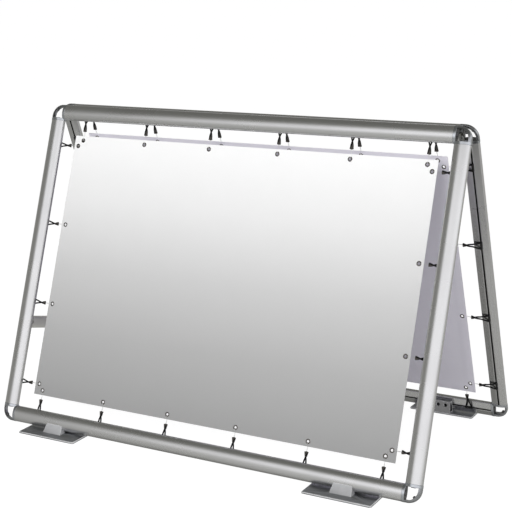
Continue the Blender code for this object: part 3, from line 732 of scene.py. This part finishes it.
def strap_section():
    """The strap's section as (out, depth) from the rail's centre: the outer side of the collar's dome."""
    wide, high = half_rail + strap_proud, dome_height + strap_proud
    inner = wide - strap_thickness
    first = acos((inner + strap_round / 3) / wide)
    turns = [first * (1 - i / strap_dome_steps) for i in range(strap_dome_steps + 1)]
    dome = [(wide * cos(t), -high * sin(t)) for t in turns]
    behind = arc((wide - strap_round, strap_inward - strap_round), strap_round, 0.0, 90.0, 4)
    inside = arc((inner + strap_round, strap_inward - strap_round), strap_round, 90.0, 180.0, 4)
    return dome + behind + inside + [(inner, -high * sin(first) + strap_round / 2)]


def strap_rings():
    """The strap's section, straight out of one collar, round a quarter turn and straight into the other."""
    section = strap_section()
    rings = [[(out, y, -half_rail) for out, y in section]]
    for i in range(strap_steps + 1):
        turn = pi / 2 * i / strap_steps
        rings.append([(turn_centre + (out - turn_centre) * cos(turn), y,
                       turn_centre + (out - turn_centre) * sin(turn)) for out, y in section])
    rings.append([(-half_rail, y, out) for out, y in section])
    return rings


def boss_rings():
    """The boss inside the strap, halfway round, wide at the strap and rounded at its tip."""
    slant = sin(pi / 4)
    centre, half_depth = (boss_inward - boss_outward) / 2, (boss_inward + boss_outward) / 2
    rings = []
    for out, half in boss_stops:
        outline = rounded_rectangle(half, half_depth - (boss_root - out) * boss_taper, min(half, 0.0024))
        rings.append([(turn_centre + (out - across) * slant, centre + depth,
                       turn_centre + (out + across) * slant) for across, depth in outline])
    return rings


def corner_mesh():
    """One elbow for the corner whose rails leave to -X and -Z, with a list of each face's finish."""
    # the boss and the pads carry the painted shade of the corner's inside
    shells = [(strap_rings(), satin), (boss_rings(), dark)]
    for swap in (False, True):
        shells += [(collar_rings(swap), polished), (pad_rings(swap), dark), (tongue_rings(swap), polished)]
    meshes = [lofted(rings) for rings, _ in shells]
    finishes = []
    for mesh, (_, finish) in zip(meshes, shells):
        for face in mesh.polygons:
            # the collars' end faces look into the corner and carry the painted shade too
            end_face = finish == polished and max(face.normal.x, face.normal.z) > 0.95
            finishes.append(dark if end_face and len(face.vertices) > 4 else finish)
    return joined(meshes), finishes


for which in ("front", "back"):
    world_left = -1 if which == "front" else 1
    for sign in (-1, 1):
        side = "left" if sign == world_left else "right"
        for row, z, turn in (("top", 0.0, 0), ("bottom", -slope_height, 1)):
            quarter = turn if sign > 0 else 3 - turn
            mesh, finishes = corner_mesh()
            mesh.transform(axes_of[which] @ Matrix.Translation((sign * upright_x, 0.0, z))
                           @ Matrix.Rotation(quarter * pi / 2, 4, "Y"))
            made = piece(f"{which}_{row}_{side}_casting", mesh, body_of(which),
                         corner_look)
            for finish, look in ((satin, strap_look), (dark, elbow_shade_look)):
                painted(made, look, lambda face: finishes[face.index] == finish)
            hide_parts(f"{which}_{row}_{side}_corner")
print("faces in one corner:", len(made.data.polygons))

# %% [markdown]
# Plates, brackets and hinge leaves have the right shape in the CAD already. What they lack is the small
# rounding that every real edge has and that catches a line of light. A CAD node is loose triangles, so
# a copy is merged, its flat faces are joined again, and a Bevel modifier rounds its outward edges,
# which carry a weight of one. The feet are rolled plate, and the rounding on the feet and the brackets
# carries a painted highlight. A paler casting makes the wedge on them.

# %% Plates, brackets, hinges and stay brackets with rounded edges
foot_thickness = 0.006
floor_contact = 0.001
plate_rounding = 0.0018
bracket_rounding = 0.0006
hinge_rounding = 0.0004


def softened(node, look, body, width=hinge_rounding, crisp=35.0, highlight_look=None):
    """A merged copy of a CAD node with rounded edges, which may carry a painted highlight of their own."""
    bm = bmesh.new()
    bm.from_mesh(nodes[node].data)
    bmesh.ops.remove_doubles(bm, verts=bm.verts, dist=2e-6)
    bmesh.ops.dissolve_limit(bm, angle_limit=radians(0.5), verts=bm.verts, edges=bm.edges)
    bmesh.ops.recalc_face_normals(bm, faces=bm.faces)
    weights = bm.edges.layers.float.new("bevel_weight_edge")
    for edge in bm.edges:
        off_floor = max(vertex.co.z for vertex in edge.verts) > floor_contact
        rounded = off_floor and edge.is_convex and edge.calc_face_angle(0.0) > radians(crisp)
        edge[weights] = 1.0 if rounded else 0.0
    made = piece(node + "_softened", plain_mesh(bm), body, look, crisp)
    rounding = made.modifiers.new("rounding", "BEVEL")
    rounding.limit_method = "WEIGHT"
    rounding.width = width
    rounding.segments = 2
    rounding.harden_normals = True
    if highlight_look:
        made.data.materials.append(highlight_look)
        rounding.material = 1
    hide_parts(node)
    return made


for which in ("front", "back"):
    body = body_of(which)
    for side in ("left", "right"):
        plate = softened(f"{which}_{side}_foot", foot_look, body, plate_rounding, 30.0,
                         edge_highlight_look)
        painted(plate, wedge_look, lambda face: face.center.z > foot_thickness + 0.0005)
        bracket = softened(f"{which}_{side}_foot_bracket", bracket_look, body,
                           bracket_rounding, highlight_look=edge_highlight_look)
        # the bracket's cut ends are bare cut metal and carry the same painted highlight as its edges
        for face in bracket.data.polygons:
            face.material_index = int(abs(face.normal.x) > 0.9)
        softened(f"{side}_hinge_{which}_leaf", hinge_look, body)
for node, look, which in (("left_hinge_pin", screw_look, "front"),
                          ("right_hinge_pin", screw_look, "front"),
                          ("stay_front_bracket", hinge_look, "front"),
                          ("stay_rear_bracket", hinge_look, "back")):
    softened(node, look, body_of(which))

# %% [markdown]
# The stay is two flat bars that lie beside each other at the elbow. Their section is flat over its
# middle, round towards both edges, and has a shallow groove where the flat begins. The bars turn about
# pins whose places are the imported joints' own, and the line between the two pins gives their direction.
# A boolean cuts each bar's eye.

# %% The stay's two arms
stay_half_height = 0.0235
stay_thickness = 0.012
stay_edge = 0.0036
stay_end = 0.015
stay_end_chamfer = 0.004
stay_eye_radius = 0.0043
stay_side_round = 0.008
stay_steps = 60
groove_depth = 0.0006
groove_width = 0.0012
groove_heights = (0.0145, -0.0145)

pivots = {joint["name"]: Vector(joint["pos_m"]) for joint in frame["joints"]}
front_pivot, rear_pivot = pivots["stay_front_swing"], pivots["stay_rear_swing"]
stay_line = Vector((0.0, rear_pivot.y - front_pivot.y, rear_pivot.z - front_pivot.z)).normalized()


def stay_section():
    """The bar's section as (out, up): flat behind, round to its edges in front, with two grooves along it."""
    points = [(0.0, -stay_half_height), (stay_edge, -stay_half_height)]
    for i in range(stay_steps + 1):
        height = -stay_half_height * cos(pi * i / stay_steps)
        on_round = max(0.0, abs(height) - stay_half_height + stay_side_round) / stay_side_round
        out = stay_edge + (stay_thickness - stay_edge) * max(0.0, 1 - on_round ** 2) ** 0.5
        nearest = min(abs(height - groove) for groove in groove_heights)
        dip = groove_depth * max(0.0, 1.0 - (nearest / groove_width) ** 2)
        points.append((out - dip, height))
    points.append((0.0, stay_half_height))
    return points


def stay_arm(node, pivot, direction):
    """One bar from its pin along a direction to the end of its CAD node, and the place of its far eye."""
    length = max((v.co - pivot).dot(direction) for v in nodes[node].data.vertices) - stay_end
    above = Vector((1.0, 0.0, 0.0)).cross(direction)
    above = above if above.z > 0 else -above
    narrow = (stay_half_height - stay_end_chamfer) / stay_half_height
    stops = [(-stay_end, narrow), (-stay_end + stay_end_chamfer, 1.0),
             (length + stay_end - stay_end_chamfer, 1.0), (length + stay_end, narrow)]
    rings = []
    for along, share in stops:
        centre = pivot + direction * along
        rings.append([centre + above * (height * share) + Vector((out - stay_thickness / 2, 0.0, 0.0))
                      for out, height in stay_section()])
    mesh = drilled(lofted(rings), [pivot], "Y", stay_eye_radius, depth=0.05, segments=32)
    made = piece(node + "_bar", mesh, node, stay_look, 30.0)
    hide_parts(node)
    return pivot + direction * length


elbow = stay_arm("stay_front_arm", front_pivot, stay_line)
elbow_again = stay_arm("stay_rear_arm", rear_pivot, -stay_line)
print("elbow", [round(v, 4) for v in elbow], "and from behind", [round(v, 4) for v in elbow_again])

# %% [markdown]
# The banners are coated fabric. A printed sheet of this kind is cut flat, its edge is folded back and
# welded into a hem, and metal eyelets are crimped through the hem. The sheet is a fine grid with a
# second layer over the hem on its inner face, the eyelet holes are cut with a boolean, and then the
# points move: each eyelet raises faint folds that die away into the sheet. The front of the front
# banner fades from white to grey towards its foot, a plain stand-in for a print.

# %% Where the eyelets are
eyelet_inset = 0.0175
eyelet_from_corner_across = 0.0375
eyelet_from_corner_down = 0.0405
eyelets_across = 6
eyelets_down = 4
eyelet_radius = 0.009
eyelet_hole_radius = 0.0045
eyelet_thickness = 0.0026
eyelet_steps = 28
banner_thickness = 0.0012
sheet_hole_radius = 0.0056

first_x = banner_width / 2 - eyelet_from_corner_across
first_z = banner_height / 2 - eyelet_from_corner_down
edge_x = banner_width / 2 - eyelet_inset
edge_z = banner_height / 2 - eyelet_inset
across = [first_x * (2 * i / (eyelets_across - 1) - 1) for i in range(eyelets_across)]
down = [first_z * (2 * i / (eyelets_down - 1) - 1) for i in range(eyelets_down)]
eyelets = [(x, z) for z in (edge_z, -edge_z) for x in across]
eyelets += [(x, z) for x in (edge_x, -edge_x) for z in down]
print("eyelets in a banner:", len(eyelets))

# %% The fabric's finishes
def coated_fabric(name, tone, fade=None):
    """Coated fabric with a fine weave under the coating, and an optional fade (low z, high z, stops)."""
    made, tree, shader, place = blank(name, 0.0, 0.5, 0.35)
    bands = [add(tree, "ShaderNodeTexWave", {"Scale": 260.0, "Distortion": 0.4, "Vector": place},
                 wave_type="BANDS", bands_direction=axis).outputs["Fac"] for axis in ("X", "Z")]
    cloud = noise(tree, place, 9.0, 3.0)
    colour = two_tone(tree, cloud, tone, 0.985, 1.015)
    if fade:
        low_z, high_z, stops = fade
        split = add(tree, "ShaderNodeSeparateXYZ", {0: place}).outputs
        share = add(tree, "ShaderNodeMapRange", {"Value": split["Z"], "From Min": low_z, "From Max": high_z})
        colour = mixed(tree, 1.0, value_ramp(tree, share, stops, "LINEAR"), colour, blend="MULTIPLY")
    threads = maths(tree, "MAXIMUM", bands[0], bands[1])
    gloss = between(tree, cloud, 0.45, 0.55)
    surface(tree, shader, colour, threads, depth=0.00003, strength=0.25, gloss=gloss)
    return made


low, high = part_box("front_banner")
fade_stops = [(0.0, 0.36), (0.25, 0.46), (0.5, 0.62), (0.75, 0.84), (1.0, 1.0)]
printed_look = coated_fabric("faded_print", (0.93, 0.93, 0.93), (low.z, high.z, fade_stops))
plain_look = coated_fabric("plain_fabric", (0.88, 0.86, 0.93))
print("fabric finishes: 2")

# %% The two sheets
hem_width = 0.034
hem_thickness = 0.0004
weld_width = 0.0015
cell = 0.0125
fold_height = 0.0005
fold_reach = 0.055
fold_decay = 1.6
natural_base = 2.7183


def steps_between(low_value, high_value, size):
    count = max(1, round((high_value - low_value) / size))
    return [low_value + (high_value - low_value) * i / count for i in range(count + 1)]


def grid_lines(half):
    """Lines across a sheet, with one on each side of the hem's weld."""
    inner = half - hem_width
    return ([-half] + steps_between(-half + weld_width, -inner - weld_width, cell)
            + steps_between(-inner, inner, cell)
            + steps_between(inner + weld_width, half - weld_width, cell) + [half])


def flat_sheet():
    """The sheet with its welded hem on the inner side, before its holes are cut."""
    half_x, half_z = banner_width / 2, banner_height / 2
    xs, zs = grid_lines(half_x), grid_lines(half_z)
    bm = bmesh.new()

    def inner_side(x, z):
        hemmed = abs(x) > half_x - hem_width + 0.0001 or abs(z) > half_z - hem_width + 0.0001
        return banner_thickness / 2 + (hem_thickness if hemmed else 0.0)

    outer = [[bm.verts.new((x, -banner_thickness / 2, z)) for z in zs] for x in xs]
    inner = [[bm.verts.new((x, inner_side(x, z), z)) for z in zs] for x in xs]
    for layer in (outer, inner):
        for i in range(len(xs) - 1):
            for k in range(len(zs) - 1):
                bm.faces.new((layer[i][k], layer[i + 1][k], layer[i + 1][k + 1], layer[i][k + 1]))
    last_i, last_k = len(xs) - 1, len(zs) - 1
    rim = [(i, 0) for i in range(last_i + 1)] + [(last_i, k) for k in range(1, last_k + 1)]
    rim += [(i, last_k) for i in range(last_i - 1, -1, -1)] + [(0, k) for k in range(last_k - 1, 0, -1)]
    for (i, k), (i2, k2) in zip(rim, rim[1:] + rim[:1]):
        bm.faces.new((outer[i][k], outer[i2][k2], inner[i2][k2], inner[i][k]))
    return plain_mesh(bm)


def strained(mesh):
    """The flat sheet under the pull of its ties."""
    for vertex in mesh.vertices:
        x, z = vertex.co.x, vertex.co.z
        lift = 0.0
        for ex, ez in eyelets:
            away = ((x - ex) ** 2 + (z - ez) ** 2) ** 0.5
            if eyelet_radius < away < fold_reach * 3:
                on_side = abs(abs(ex) - edge_x) < 1e-6
                along = (z - ez) if on_side else (x - ex)
                fade = (away - eyelet_radius) / fold_reach
                swell = fade * natural_base ** (1.0 - fade * fold_decay)
                lift += fold_height * sin(along / away * 2 * pi) * swell
        vertex.co.y += lift
    return mesh


def banner(which, outer_look, inner_look):
    """One sheet in its place, its two faces with their own finishes."""
    places = [(x, 0.0, z) for x, z in eyelets]
    mesh = strained(drilled(flat_sheet(), places, "X", sheet_hole_radius, depth=0.01, segments=20))
    place = axes_of[which] @ Matrix.Translation((0.0, banner_behind_rail, -slope_height / 2))
    mesh.transform(place)
    made = piece(f"{which}_banner_sheet", mesh, body_of(which), outer_look, 30.0)
    inwards = place.to_3x3() @ Vector((0.0, 1.0, 0.0))
    painted(made, inner_look, lambda face: face.normal.dot(inwards) > 0.5)
    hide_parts(f"{which}_banner")
    return made


sheets = {"front": banner("front", printed_look, plain_look), "back": banner("back", plain_look, plain_look)}
print("faces in a sheet:", len(sheets["front"].data.polygons))

# %% [markdown]
# The rest repeats: twenty eyelets and twenty ties in each banner. A tree that sets copies of a shape
# out in a row makes them all. Its inputs are the number of copies, the first place, the step to the
# next and how each copy is turned, so a side of a banner is one call. A second tree sweeps a round cord
# along a smooth line through a few points, and keeps how far along the cord and how far round it each
# face is, which the braid's pattern needs.

# %% Trees for rows and cords
def row_tree():
    tree, given = tree_with("row", Count="Int", First="Vector", Step="Vector", Turn="Vector")
    line = add(tree, "GeometryNodeMeshLine", {"Count": given["Count"], "Start Location": given["First"],
                                              "Offset": given["Step"]}, mode="OFFSET")
    copies = add(tree, "GeometryNodeInstanceOnPoints", {"Points": line, "Instance": given["Geometry"],
                                                        "Rotation": given["Turn"]})
    return close_tree(tree, given, copies)


def cord_tree():
    tree, given = tree_with("cord", Radius="Float", Spacing="Float", Sides="Int")

    def keeping(geometry, name, value):
        """A curve that keeps a named value on each of its points."""
        inputs = {"Geometry": geometry, "Name": name, "Value": value}
        return add(tree, "GeometryNodeStoreNamedAttribute", inputs, data_type="FLOAT", domain="POINT")

    line = add(tree, "GeometryNodeMeshToCurve", {0: given["Geometry"]})
    smooth = add(tree, "GeometryNodeCurveSplineType", {0: line}, spline_type="CATMULL_ROM")
    fine = add(tree, "GeometryNodeResampleCurve", {"Curve": smooth, "Length": given["Spacing"]},
               mode="LENGTH")
    ring = add(tree, "GeometryNodeCurvePrimitiveCircle", {"Resolution": given["Sides"],
                                                          "Radius": given["Radius"]})
    place = add(tree, "GeometryNodeSplineParameter").outputs
    swept = add(tree, "GeometryNodeCurveToMesh", {"Curve": keeping(fine, "along", place["Length"]),
                                                  "Profile Curve": keeping(ring, "around", place["Factor"]),
                                                  "Fill Caps": True})
    return close_tree(tree, given, swept)


row, cord = row_tree(), cord_tree()


def cord_mesh(points, radius, spacing, facets, look):
    """A cord along a smooth line through points."""
    path = bpy.data.meshes.new("path")
    path.from_pydata(points, [(i, i + 1) for i in range(len(points) - 1)], [])
    return run_tree(cord, path, Radius=radius, Spacing=spacing, Sides=facets, Finish=look)


level_step = Vector((across[1] - across[0], 0.0, 0.0))
rising_step = Vector((0.0, 0.0, down[1] - down[0]))
level_reach = banner_end_gap + eyelet_inset
side_reach = banner_side_gap + eyelet_inset
lowest = -slope_height / 2 + down[0]
# sides of a banner: count, first place, step, turn about Y and reach from the rail's centre line
sides = {
    "top": (eyelets_across, Vector((across[0], 0.0, 0.0)), level_step, pi, level_reach),
    "bottom": (eyelets_across, Vector((across[0], 0.0, -slope_height)), level_step, 0.0, level_reach),
    "right": (eyelets_down, Vector((upright_x, 0.0, lowest)), rising_step, -pi / 2, side_reach),
    "left": (eyelets_down, Vector((-upright_x, 0.0, lowest)), rising_step, pi / 2, side_reach),
}


def joined_with_attributes(meshes):
    """Several meshes as one, with the values that the trees stored on them."""
    holders = [placed("part", mesh) for mesh in meshes]
    with bpy.context.temp_override(active_object=holders[0], selected_editable_objects=holders):
        bpy.ops.object.join()
    mesh = holders[0].data
    bpy.data.objects.remove(holders[0])
    return mesh


def laced(which, name, make, look):
    """One small part at every eyelet of a banner, as one piece."""
    rows = []
    for count, first, step, turn, reach in sides.values():
        rows.append(run_tree(row, make(reach), Count=count, First=first, Step=step,
                             Turn=Vector((0.0, turn, 0.0)), Finish=look))
    mesh = joined_with_attributes(rows)
    mesh.transform(axes_of[which])
    return piece(f"{which}_{name}", mesh, body_of(which), look)


print("trees:", [tree.name for tree in bpy.data.node_groups])

# %% [markdown]
# A tie is four things: a long plastic plug that sits in the slot, a loop of black elastic crossed once
# like an eight, a moulded block that fills the loop's end and holds the foot of the wire, and a wire
# hook whose tip goes through the eyelet. The elastic leaves the plug at both its ends, and its two
# halves pass beside each other where they cross. The side ties are a little shorter and cross nearer to
# their hooks.

# %% Eyelets, elastics, hooks and plugs
elastic_radius = 0.0028
level_crossing = 0.68
side_crossing = 0.76
wire_radius = 0.0009
hook_length = 0.036
spread_at_plug = 0.0125
spread_at_hook = 0.0038
block_past_crossing = 0.004
block_past_loop = 0.0012
block_thickness = 0.0062
seat_gap = 0.0003
pass_length = 0.3
ribs_around = 4
rib_spacing = 0.0032
# the plug's cap as (height over the rail, half length, half width)
cap_stops = ((0.0, 0.0155, 0.0045), (0.0014, 0.0155, 0.0042), (0.0034, 0.0151, 0.0034),
             (0.0044, 0.0145, 0.0029), (0.0048, 0.0137, 0.0023))
# its neck and head as (half length, half width, rounding of the corners)
neck_outline = (0.0149, slot_mouth / 2 - seat_gap, 0.001)
head_outline = (0.0153, 0.0056, 0.0018)


def braided(name):
    """Black elastic with the fine ribs of its woven cover."""
    made, tree, shader, _ = blank(name, 0.0, 0.75, 0.12)
    along, around = [add(tree, "ShaderNodeAttribute", attribute_name=kept).outputs["Fac"]
                     for kept in ("along", "around")]
    turns = maths(tree, "MULTIPLY", around, ribs_around * 2 * pi)
    rise = maths(tree, "MULTIPLY", along, 2 * pi / rib_spacing)
    ways = [maths(tree, "SINE", maths(tree, operation, rise, turns)) for operation in ("ADD", "SUBTRACT")]
    braid = maths(tree, "MAXIMUM", ways[0], ways[1])
    colour = mixed(tree, braid, (0.004, 0.004, 0.005), (0.018, 0.018, 0.019))
    surface(tree, shader, colour, braid, depth=0.0002, strength=0.6)
    return made


def moulded(name, tone, roughness):
    """Moulded plastic with a fine spark-eroded skin."""
    made, tree, shader, place = blank(name, 0.0, roughness, 0.25)
    colour = two_tone(tree, noise(tree, place, 300.0), tone, 0.85, 1.15)
    skin = noise(tree, place, 2500.0, 1.0)
    surface(tree, shader, colour, skin, depth=0.00003, strength=0.4)
    return made


elastic_look = braided("woven_elastic")
plug_look = moulded("moulded_plug", (0.02, 0.02, 0.02), 0.45)
block_look = moulded("moulded_block", (0.055, 0.050, 0.044), 0.4)


def crossing_of(reach):
    """Where the elastic crosses itself, as a share of its length."""
    return level_crossing if reach > side_reach + 0.001 else side_crossing


def elastic(reach):
    """The elastic: up from the plug, across, round its end and back across itself."""
    end, crossing = reach - hook_length, crossing_of(reach)
    near_y, far_y = flat_depth + elastic_radius + seat_gap, banner_behind_rail
    pass_by = elastic_radius + seat_gap
    leg = []
    for step in (0.0, 0.3, 0.6, 0.85, 1.0, 1.3, 1.6, 1.85):
        if step <= 1.0:
            share = crossing * step
            spread = -spread_at_plug * (1 - step)
        else:
            share = crossing + (1 - crossing) * (step - 1)
            spread = spread_at_hook * sin(pi / 2 * (step - 1))
        aside = pass_by * max(0.0, 1 - ((share - crossing) / pass_length) ** 2)
        leg.append((spread, near_y + (far_y - near_y) * share - aside, end * share))
    turn = spread_at_hook * 0.86
    tip = [(turn, far_y, end * 0.99), (0.0, far_y, end), (-turn, far_y, end * 0.99)]
    back = [(-x, y + 2 * (near_y + (far_y - near_y) * (z / end) - y), z) for x, y, z in reversed(leg)]
    return cord_mesh(leg + tip + back, elastic_radius, spacing=0.0022, facets=10, look=elastic_look)


def hook(reach, hook_side):
    """The wire: a foot inside the block, a straight shank and a hook through the eyelet."""
    end = reach - hook_length
    beside = hook_side * (eyelet_thickness / 2 + wire_radius + seat_gap)
    through = reach - eyelet_hole_radius + wire_radius + seat_gap * 2
    # each point as (share of the way beside the banner, height)
    line = [(0.0, end - 0.004), (0.0, end + 0.001), (0.3, end + 0.005), (0.85, end + 0.009),
            (1.0, end + 0.013), (1.0, through - 0.006), (1.0, through - 0.0012), (0.45, through),
            (-0.45, through), (-1.0, through - 0.0012), (-1.25, through - 0.006)]
    points = [(0.0, banner_behind_rail + beside * share, z) for share, z in line]
    return cord_mesh(points, wire_radius, spacing=0.0012, facets=8, look=wire_look)


def block(reach):
    """The moulded block in the loop's end, wider towards the hook, with its far edge rounded."""
    end = reach - hook_length
    low, high = end * crossing_of(reach) + block_past_crossing, end + block_past_loop
    stops = ((low, 0.0030), (low + 0.0008, 0.0036), (high - 0.0012, 0.0071), (high - 0.0003, 0.0068),
             (high, 0.0060))
    rings = []
    for z, half in stops:
        outline = rounded_rectangle(half, block_thickness / 2, 0.0010, 3)
        rings.append([(x, banner_behind_rail + y, z) for x, y in outline])
    return lofted(rings)


def plug(reach):
    """The plug's round-edged cap on the rail and its head inside the slot, the same at every reach."""
    face, under_lip = flat_depth + seat_gap, flat_depth - slot_lip
    shells = [[(face + up_by, (length, width, 0.0022)) for up_by, length, width in cap_stops],
              [(face + 0.0005, neck_outline), (under_lip - 0.0009, neck_outline)],
              [(under_lip - seat_gap, head_outline), (under_lip - seat_gap - 0.003, head_outline)]]
    return joined([lofted([[(x, y, z) for x, z in rounded_rectangle(*outline)] for y, outline in shell])
                   for shell in shells])


def eyelet_ring(reach):
    """A crimped ring about its eyelet: two rolled flanges joined through the hole."""
    middle = (eyelet_radius + eyelet_hole_radius) / 2
    section = rounded_rectangle((eyelet_radius - eyelet_hole_radius) / 2, eyelet_thickness / 2, 0.0011, 3)
    rings = []
    for turn in [2 * pi * i / eyelet_steps for i in range(eyelet_steps)]:
        rings.append([((middle + r) * cos(turn), banner_behind_rail + y, reach + (middle + r) * sin(turn))
                      for r, y in section])
    return lofted(rings + rings[:1], closed=False)


for which, hook_side in (("front", 1), ("back", -1)):
    elastics = laced(which, "elastics", elastic, elastic_look)
    hooks = laced(which, "wire_hooks", lambda reach: hook(reach, hook_side), wire_look)
    laced(which, "slot_plugs", plug, plug_look)
    laced(which, "hook_blocks", block, block_look)
    rings = laced(which, "eyelets", eyelet_ring, eyelet_look)
    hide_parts(*[f"{which}_{row_name}_tie_{i + 1}" for row_name in ("top", "bottom")
                            for i in range(eyelets_across)])
    print(which, "ties:", sum(count for count, *_ in sides.values()), "faces in elastics:",
          len(elastics.data.polygons))

# %% [markdown]
# The last pieces are small: the screws that hold the hinge leaves and the stay's brackets to the rails,
# and the rivet at the stay's elbow. A screw is a button head with a six-sided socket. The same row tree
# sets them out.

# %% Screws and rivets
screw_radius = 0.0042
screw_height = 0.0024
socket_depth = 0.0016
socket_share = 0.44
rivet_radius = 0.0068
plate_thickness = 0.004
leaf_screws_up = 0.018
leaf_screws_across = 0.032
bracket_screws_up = 0.028
bracket_screws_aside = 0.012
leaf_face = flat_depth + seat_gap + plate_thickness
hinge_down = hinge_below_rail_centre * cos(lean) - top_rail_spread / 2 * sin(lean)
# a screw's head as shares of its radius and height, and a rivet's as (share of its radius, height)
head_stops = ((1.0, 0.0), (1.0, 0.25), (0.94, 0.55), (0.8, 0.83), (0.62, 0.97), (0.56, 1.0))
rivet_stops = ((1.0, 0.0), (1.0, 0.0006), (0.92, 0.0014), (0.7, 0.0021), (0.35, 0.0025))
round_turns = [2 * pi * i / 24 for i in range(24)]


def button_head():
    """A button head on the plane y = 0, its axis along +Y, with a six-sided socket."""
    rings = [[(screw_radius * reach * cos(t), screw_height * y, screw_radius * reach * sin(t))
              for t in round_turns] for reach, y in head_stops]
    for y in (screw_height, screw_height - socket_depth):
        flats = [socket_share * screw_radius / cos(t % (pi / 3) - pi / 6) for t in round_turns]
        rings.append([(flat * cos(t), y, flat * sin(t)) for flat, t in zip(flats, round_turns)])
    return lofted(rings)


def screws(name, which, first, step):
    """Two screws on a plate, the first at a place in frame axes."""
    mesh = run_tree(row, button_head(), Count=2, First=Vector(first), Step=Vector(step),
                    Turn=Vector((0.0, 0.0, 0.0)), Finish=screw_look)
    mesh.transform(axes_of[which])
    return piece(name, mesh, body_of(which), screw_look, 30.0)


for side in ("left", "right"):
    low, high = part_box(f"{side}_hinge_pin")
    x = (low.x + high.x) / 2
    screws(f"{side}_front_leaf_screws", "front", (x, leaf_face, -hinge_down - leaf_screws_up / 2),
           (0.0, 0.0, leaf_screws_up))
    screws(f"{side}_back_leaf_screws", "back", (-x - leaf_screws_across / 2, leaf_face, -hinge_down),
           (leaf_screws_across, 0.0, 0.0))
for which, pivot, sign in (("front", front_pivot, -1), ("back", rear_pivot, 1)):
    local = axes_of[which].inverted() @ Vector((-upright_x, pivot.y, pivot.z))
    first = (sign * upright_x + bracket_screws_aside, leaf_face, local.z - bracket_screws_up / 2)
    screws(f"stay_{which}_bracket_screws", which, first, (0.0, 0.0, bracket_screws_up))


def rivet(name, body, x, way):
    """A rivet's domed head on an arm's face at the elbow, pointing along x."""
    rings = [[(x + way * y, elbow.y + rivet_radius * r * cos(t), elbow.z + rivet_radius * r * sin(t))
              for t in round_turns] for r, y in rivet_stops]
    return piece(name, lofted(rings), body, screw_look, 30.0)


rivet("elbow_rivet_front_head", "stay_front_arm", front_pivot.x - stay_thickness / 2, -1)
rivet("elbow_rivet_rear_head", "stay_rear_arm", rear_pivot.x + stay_thickness / 2, 1)
